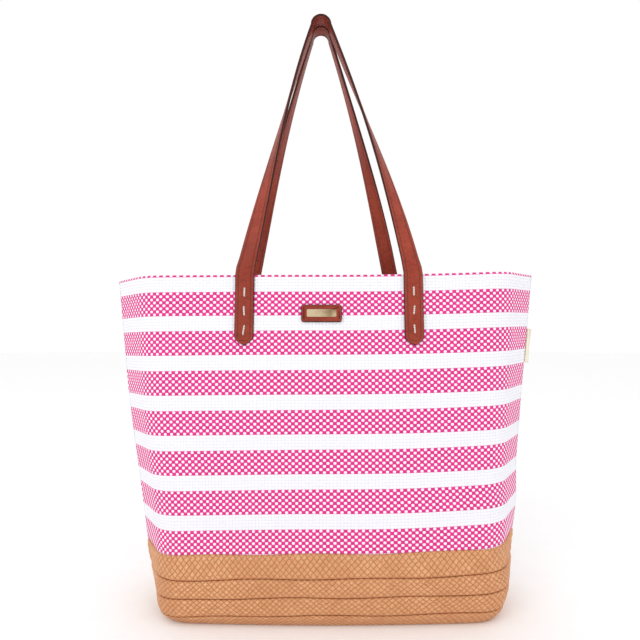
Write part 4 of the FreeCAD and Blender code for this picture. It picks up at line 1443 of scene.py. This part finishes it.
@dataclass
class Inside:
    """Cotton lining, slip pocket, zipped pocket and the magnetic snap."""

    shape: BagShape
    finishes: Finishes
    face: float = 0.0030       # depth of the lining's inner face into the wall
    back: float = 0.0025
    foot: float = 0.005
    wrinkle: float = 0.0011
    zip_reach: float = 0.034

    def fold(self, s: float, z: float) -> float:
        """Depth added by the lining's loose folds."""
        calm = ease((z - 0.01) / 0.05) * ease((self.top - z) / 0.03)
        long = math.sin(s * 46 + 2.2 * math.sin(z * 11)) * math.sin(z * 19 + 0.7)
        short = math.sin(s * 93 - z * 37) * 0.4
        return self.wrinkle * calm * (0.9 + long + short)

    @property
    def top(self) -> float:
        """Height where the lining meets the hem."""
        return cad_box("lining_front")[1].z

    def zip_flat(self, point: Vector) -> Vector:
        """Pulls the rear lining flat behind the zip."""
        low, high = cad_box("zip_welt")
        over_x = max(0.0, abs(point.x) - high.x - 0.004)
        over_z = max(0.0, low.z - 0.004 - point.z, point.z - high.z - 0.004)
        grip = ease(1 - math.hypot(over_x, over_z) / self.zip_reach)
        plane = cad_box("zip_tape_upper")[1].y + 0.0004
        point.y += (min(point.y, plane) - point.y) * grip
        return point

    def sheet(self, name: str, side: Side, bounds: tuple[float, float, float, float],
              depths: tuple[float, float], faces: tuple[int, int], material: bpy.types.Material,
              nodes: Iterable[str]) -> bpy.types.Object:
        """A closed cloth sheet that follows the wall.

        Args:
            name: the piece's name.
            side: front or rear.
            bounds: left, right, low and high ends, along the wall and in height.
            depths: depth into the wall of its back and its face.
            faces: how many faces across and up.
            material: its finish.
            nodes: CAD pieces it stands for.

        Returns:
            The finished sheet.
        """
        left, right, low, high = bounds
        across, up = faces

        def place(u: float, v: float) -> Vector:
            share, shown = there_and_back(v, up)
            s, z = left + (right - left) * u, low + (high - low) * share
            depth = (depths[1] if shown else depths[0]) + self.fold(s, z)
            point = self.shape.wall(s, z, depth, side)
            return self.zip_flat(point) if side is Side.REAR else point

        mesh = shaped_grid(across, 2 * up + 2, place, lambda u, v: (u, v))
        close_up(mesh)
        return on_bag(name, mesh, material, nodes)

    def floor(self) -> bpy.types.Object:
        """The floor cloth, lying over the board."""
        low, high = cad_box("lining_floor")
        rows = 36

        def place(u: float, v: float) -> Vector:
            share, shown = there_and_back(v, rows)
            half = self.shape.section(low.z).half
            s = (2 * u - 1) * half * 0.999
            front = self.shape.wall(s, low.z, self.face, Side.FRONT)
            rear = self.shape.wall(s, low.z, self.face, Side.REAR)
            point = front.lerp(rear, share)
            swell = 0.0005 * math.sin(point.x * 31) * math.sin(point.y * 47)
            point.z = high.z + 0.0004 + swell if shown else low.z
            return point

        mesh = shaped_grid(120, 2 * rows + 2, place, lambda u, v: (u, v))
        close_up(mesh)
        return on_bag("lining_floor_cloth", mesh, self.finishes.lining,
                      ["lining_floor"])

    def linings(self) -> None:
        """Wall linings, front and rear, and the floor."""
        half = self.shape.section(self.top).half
        for side in Side:
            word = side.name.lower()
            self.sheet(f"lining_{word}_cloth", side, (-half, half, self.foot, self.top + 0.002),
                       (self.back, self.face), (190, 110), self.finishes.lining,
                       [f"lining_{word}"])
        self.floor()

    def slip_pocket(self) -> None:
        """Open pocket on the front lining, with its top hem and side seams."""
        low, high = cad_box("slip_pocket")
        self.sheet("slip_pocket_cloth", Side.FRONT, (low.x, high.x, low.z, high.z),
                   (self.face + 0.0001, self.face + 0.0008), (90, 60), self.finishes.lining,
                   ["slip_pocket"])
        self.sheet("slip_pocket_hem", Side.FRONT, (low.x, high.x, high.z - HEM_TALL, high.z + 0.0004),
                   (self.face + 0.0008, self.face + 0.0015), (90, 8), self.finishes.lining,
                   [])
        mesh = Beads()
        inset = self.face + 0.0009
        for x in (low.x + 0.0025, high.x - 0.0025, 0.012):
            for k in range(int((high.z - low.z - 0.006) / LINING_PITCH)):
                z = low.z + 0.003 + k * LINING_PITCH
                lift = 0.0007 if z > high.z - HEM_TALL else 0.0
                spot = self.shape.wall(x, z, inset + lift + self.fold(x, z))
                mesh.add(spot, UP, BACKWARD, LINING_STITCH)
        for z, lift in ((low.z + 0.0025, 0.0), (high.z - 0.0115, 0.0007)):
            for k in range(int((high.x - low.x - 0.006) / LINING_PITCH)):
                x = low.x + 0.003 + k * LINING_PITCH
                spot = self.shape.wall(x, z, inset + lift + self.fold(x, z))
                mesh.add(spot, RIGHT, BACKWARD, LINING_STITCH)
        on_bag("slip_pocket_seams", mesh.mesh(), self.finishes.cream_thread)

    def zipped_pocket(self) -> None:
        """Pouch, welt and the row of coil teeth; tapes, stops, slider and pull keep their CAD shape."""
        low, high = cad_box("zip_pouch")
        self.sheet("zip_pouch_cloth", Side.REAR, (low.x, high.x, low.z, high.z),
                   (0.0016, 0.0022), (60, 44), self.finishes.lining,
                   ["zip_pouch"])
        self._welt()
        for half, sign in (("upper", 1), ("lower", -1)):
            self._teeth(half, sign)
            dress(f"zip_tape_{half}", self.finishes.tape)
        for node in ("zip_stops", "zip_slider", "zip_pull"):
            dress(node, self.finishes.steel)

    def _welt(self) -> None:
        """Folded cloth frame round the zip, with a row of stitches."""
        low, high = cad_box("zip_welt")
        wide, tall = high.x - low.x, high.z - low.z
        window = cad_box("zip_tape_upper")[1].x
        mesh = bmesh.new()
        bmesh.ops.create_grid(mesh, x_segments=1, y_segments=1, size=0.5)
        bmesh.ops.scale(mesh, vec=(2 * window, 0.0136, 1), verts=mesh.verts)
        inner = mesh.faces[:]
        rim = bmesh.ops.extrude_edge_only(mesh, edges=mesh.edges[:])["geom"]
        outer = [g for g in rim if isinstance(g, bmesh.types.BMVert)]
        for vertex in outer:
            vertex.co.x = math.copysign(wide / 2, vertex.co.x)
            vertex.co.y = math.copysign(tall / 2, vertex.co.y)
        bmesh.ops.delete(mesh, geom=inner, context="FACES_ONLY")
        bmesh.ops.recalc_face_normals(mesh, faces=mesh.faces)
        bmesh.ops.solidify(mesh, geom=mesh.faces[:], thickness=high.y - low.y)
        bmesh.ops.bevel(mesh, geom=mesh.edges[:], offset=0.0003, segments=2, profile=0.5,
                        affect="EDGES", material=-1)
        base = min(v.co.z for v in mesh.verts)
        for vertex in mesh.verts:
            x, y, z = vertex.co
            vertex.co = Vector((x, low.y + (z - base), (low.z + high.z) / 2 + y))
        bmesh.ops.recalc_face_normals(mesh, faces=mesh.faces)
        on_bag("zip_welt_cloth", mesh, self.finishes.lining, ["zip_welt"],
               smooth=False)
        seam = Beads()
        y, middle = low.y - 0.0001, (low.z + high.z) / 2
        for sign in (-1, 1):
            for k in range(int(wide / LINING_PITCH) - 1):
                x = low.x + 0.004 + k * LINING_PITCH
                seam.add(Vector((x, y, middle + sign * (tall / 2 - 0.0035))), RIGHT, -BACKWARD,
                         LINING_STITCH)
        on_bag("zip_welt_seam", seam.mesh(), self.finishes.cream_thread)

    def _teeth(self, half: str, sign: int) -> None:
        """One side of the zip's coil, tooth by tooth."""
        low, high = cad_box(f"zip_coil_{half}")
        pitch = 0.0013
        mesh = Beads()
        middle = (low + high) / 2
        slant = Vector((0.12, 0, 1))
        size = Vector(((high.z - low.z) / 2, pitch * 0.36, (high.y - low.y) / 2))
        for k in range(int((high.x - low.x) / pitch)):
            x = low.x + pitch * (k + 0.5 + 0.25 * sign)
            mesh.add(Vector((x, middle.y, middle.z)), slant, -BACKWARD, size)
        on_bag(f"zip_teeth_{half}", mesh.mesh(), self.finishes.coil,
               [f"zip_coil_{half}"])

    def build(self) -> None:
        """Everything inside the bag."""
        self.linings()
        self.slip_pocket()
        self.zipped_pocket()
        for node in ("snap_socket", "snap_stud", "snap_washer_front", "snap_washer_rear"):
            dress(node, self.finishes.brass)


# -------------------------------------------------------------------- side label


@dataclass
class SideLabel:
    """Folded cream label that stands out of the right seam."""

    finishes: Finishes
    tall: float = 0.042
    out: float = 0.0148
    ply: float = 0.00034
    fold: float = 0.0004
    turn: float = 50.0
    tight: float = 0.06    # share of the run taken by the fold
    bow: float = 0.0007

    def build(self) -> bpy.types.Object:
        """Two layers joined by a fold at the outer edge, slightly bowed."""
        joint = next(j for j in frame["joints"] if j["child"] == "side_label")
        root = Vector(joint["pos_m"])
        axis = Vector(joint["axis"]).normalized()
        flat = Vector((math.cos(math.radians(self.turn)), math.sin(math.radians(self.turn)), 0))
        away = (flat - axis * flat.dot(axis)).normalized()
        across = axis.cross(away)
        layers = 36

        def line(share: float) -> tuple[float, float]:
            """Distance out and sideways of the folded cloth's middle."""
            run = (share - 0.5) * 2
            reach = self.out * (1 - abs(run)) if abs(run) > self.tight else self.out * (
                1 - self.tight + self.tight * math.cos(run / self.tight * math.pi / 2))
            return reach, math.copysign(min(abs(run) / self.tight, 1.0), run) * self.fold

        def place(u: float, v: float) -> Vector:
            share, outer = there_and_back(v, layers)
            reach, sideways = line(share)
            swell = self.ply / 2 * (1 if outer else -1)
            facing = math.copysign(1.0, share - 0.5) if abs(share - 0.5) > 0.02 else 0.0
            bow = self.bow * math.sin(math.pi * u) * (reach / self.out) ** 2
            sideways += facing * swell + bow
            reach += swell * (1 - abs(facing))
            return (root + axis * ((u - 0.5) * self.tall) + away * (reach + 0.0006)
                    + across * sideways)

        mesh = shaped_grid(28, 2 * layers + 2, place, lambda u, v: (u, v))
        close_up(mesh)
        made = finished("side_label_cloth", mesh, self.finishes.label)
        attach(made, "side_label")
        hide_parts("side_label")
        return made


# ------------------------------------------------------------------------ studio


@dataclass
class Studio:
    """White table, soft light and the camera."""

    eye: Vector = field(default_factory=lambda: Vector((-0.0067, -0.632, 0.3167)))
    shift: float = 0.03125
    lens: float = 28.83

    def floor(self) -> None:
        """A wide white table."""
        mesh = bmesh.new()
        bmesh.ops.create_circle(mesh, cap_ends=True, segments=96, radius=14.0)
        r = Recipe("white_table")
        grain = r.noise(r.place(), 40.0, 2.0)
        colour = r.mix(grain, paint(250, 250, 250), paint(254, 254, 254))
        material = r.finish(colour, 0.9)
        data = bpy.data.meshes.new("table")
        mesh.to_mesh(data)
        mesh.free()
        data.materials.append(material)
        table = bpy.data.objects.new("table", data)
        bpy.context.scene.collection.objects.link(table)
        table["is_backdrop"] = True

    def lamp(self, name: str, place: tuple[float, float, float], aim: tuple[float, float, float],
             size: float, power: float) -> None:
        """A square soft light."""
        data = bpy.data.lights.new(name, "AREA")
        data.shape = "SQUARE"
        data.size = size
        data.energy = power
        made = bpy.data.objects.new(name, data)
        made.location = place
        made.rotation_euler = (Vector(aim) - Vector(place)).to_track_quat("-Z", "Y").to_euler()
        bpy.context.scene.collection.objects.link(made)

    def build(self) -> None:
        """Table, light and camera."""
        self.floor()
        scene = bpy.context.scene
        scene.view_settings.view_transform = "Standard"
        world = bpy.data.worlds.new("white_room")
        world.use_nodes = True
        backdrop = world.node_tree.nodes["Background"]
        backdrop.inputs["Color"].default_value = (1.0, 1.0, 1.0, 1.0)
        backdrop.inputs["Strength"].default_value = 1.0
        scene.world = world
        self.lamp("key_light", (-1.4, -1.9, 1.9), (0, 0, 0.3), 1.6, 15)
        self.lamp("fill_light", (1.8, -1.5, 1.1), (0, 0, 0.25), 1.8, 5)
        data = bpy.data.cameras.new("camera")
        data.sensor_width = 36.0
        data.lens = self.lens
        camera = bpy.data.objects.new("camera", data)
        camera.location = self.eye
        camera.rotation_euler = (math.radians(90), 0, 0)
        data.shift_y = self.shift
        scene.collection.objects.link(camera)
        scene.camera = camera


def plain(box: tuple[Vector, Vector]) -> list[list[float]]:
    """A box as plain lists of numbers."""
    return [list(corner) for corner in box]


def main() -> None:
    """Builds every piece in order."""
    logging.basicConfig(level=logging.INFO, format="%(message)s")
    rim = cad_box("front_panel")[1].z
    shape = BagShape(rim)
    finishes = Finishes()
    WovenShell(shape, finishes).build()
    BraidedFoot(shape, finishes).build()
    Handles(shape, finishes).build()
    Badge(shape, finishes).build()
    Inside(shape, finishes).build()
    SideLabel(finishes).build()
    Studio().build()
    {"cad": plain(CAD_BOX), "visual": plain(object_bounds())}


if __name__ == "__main__":
    main()
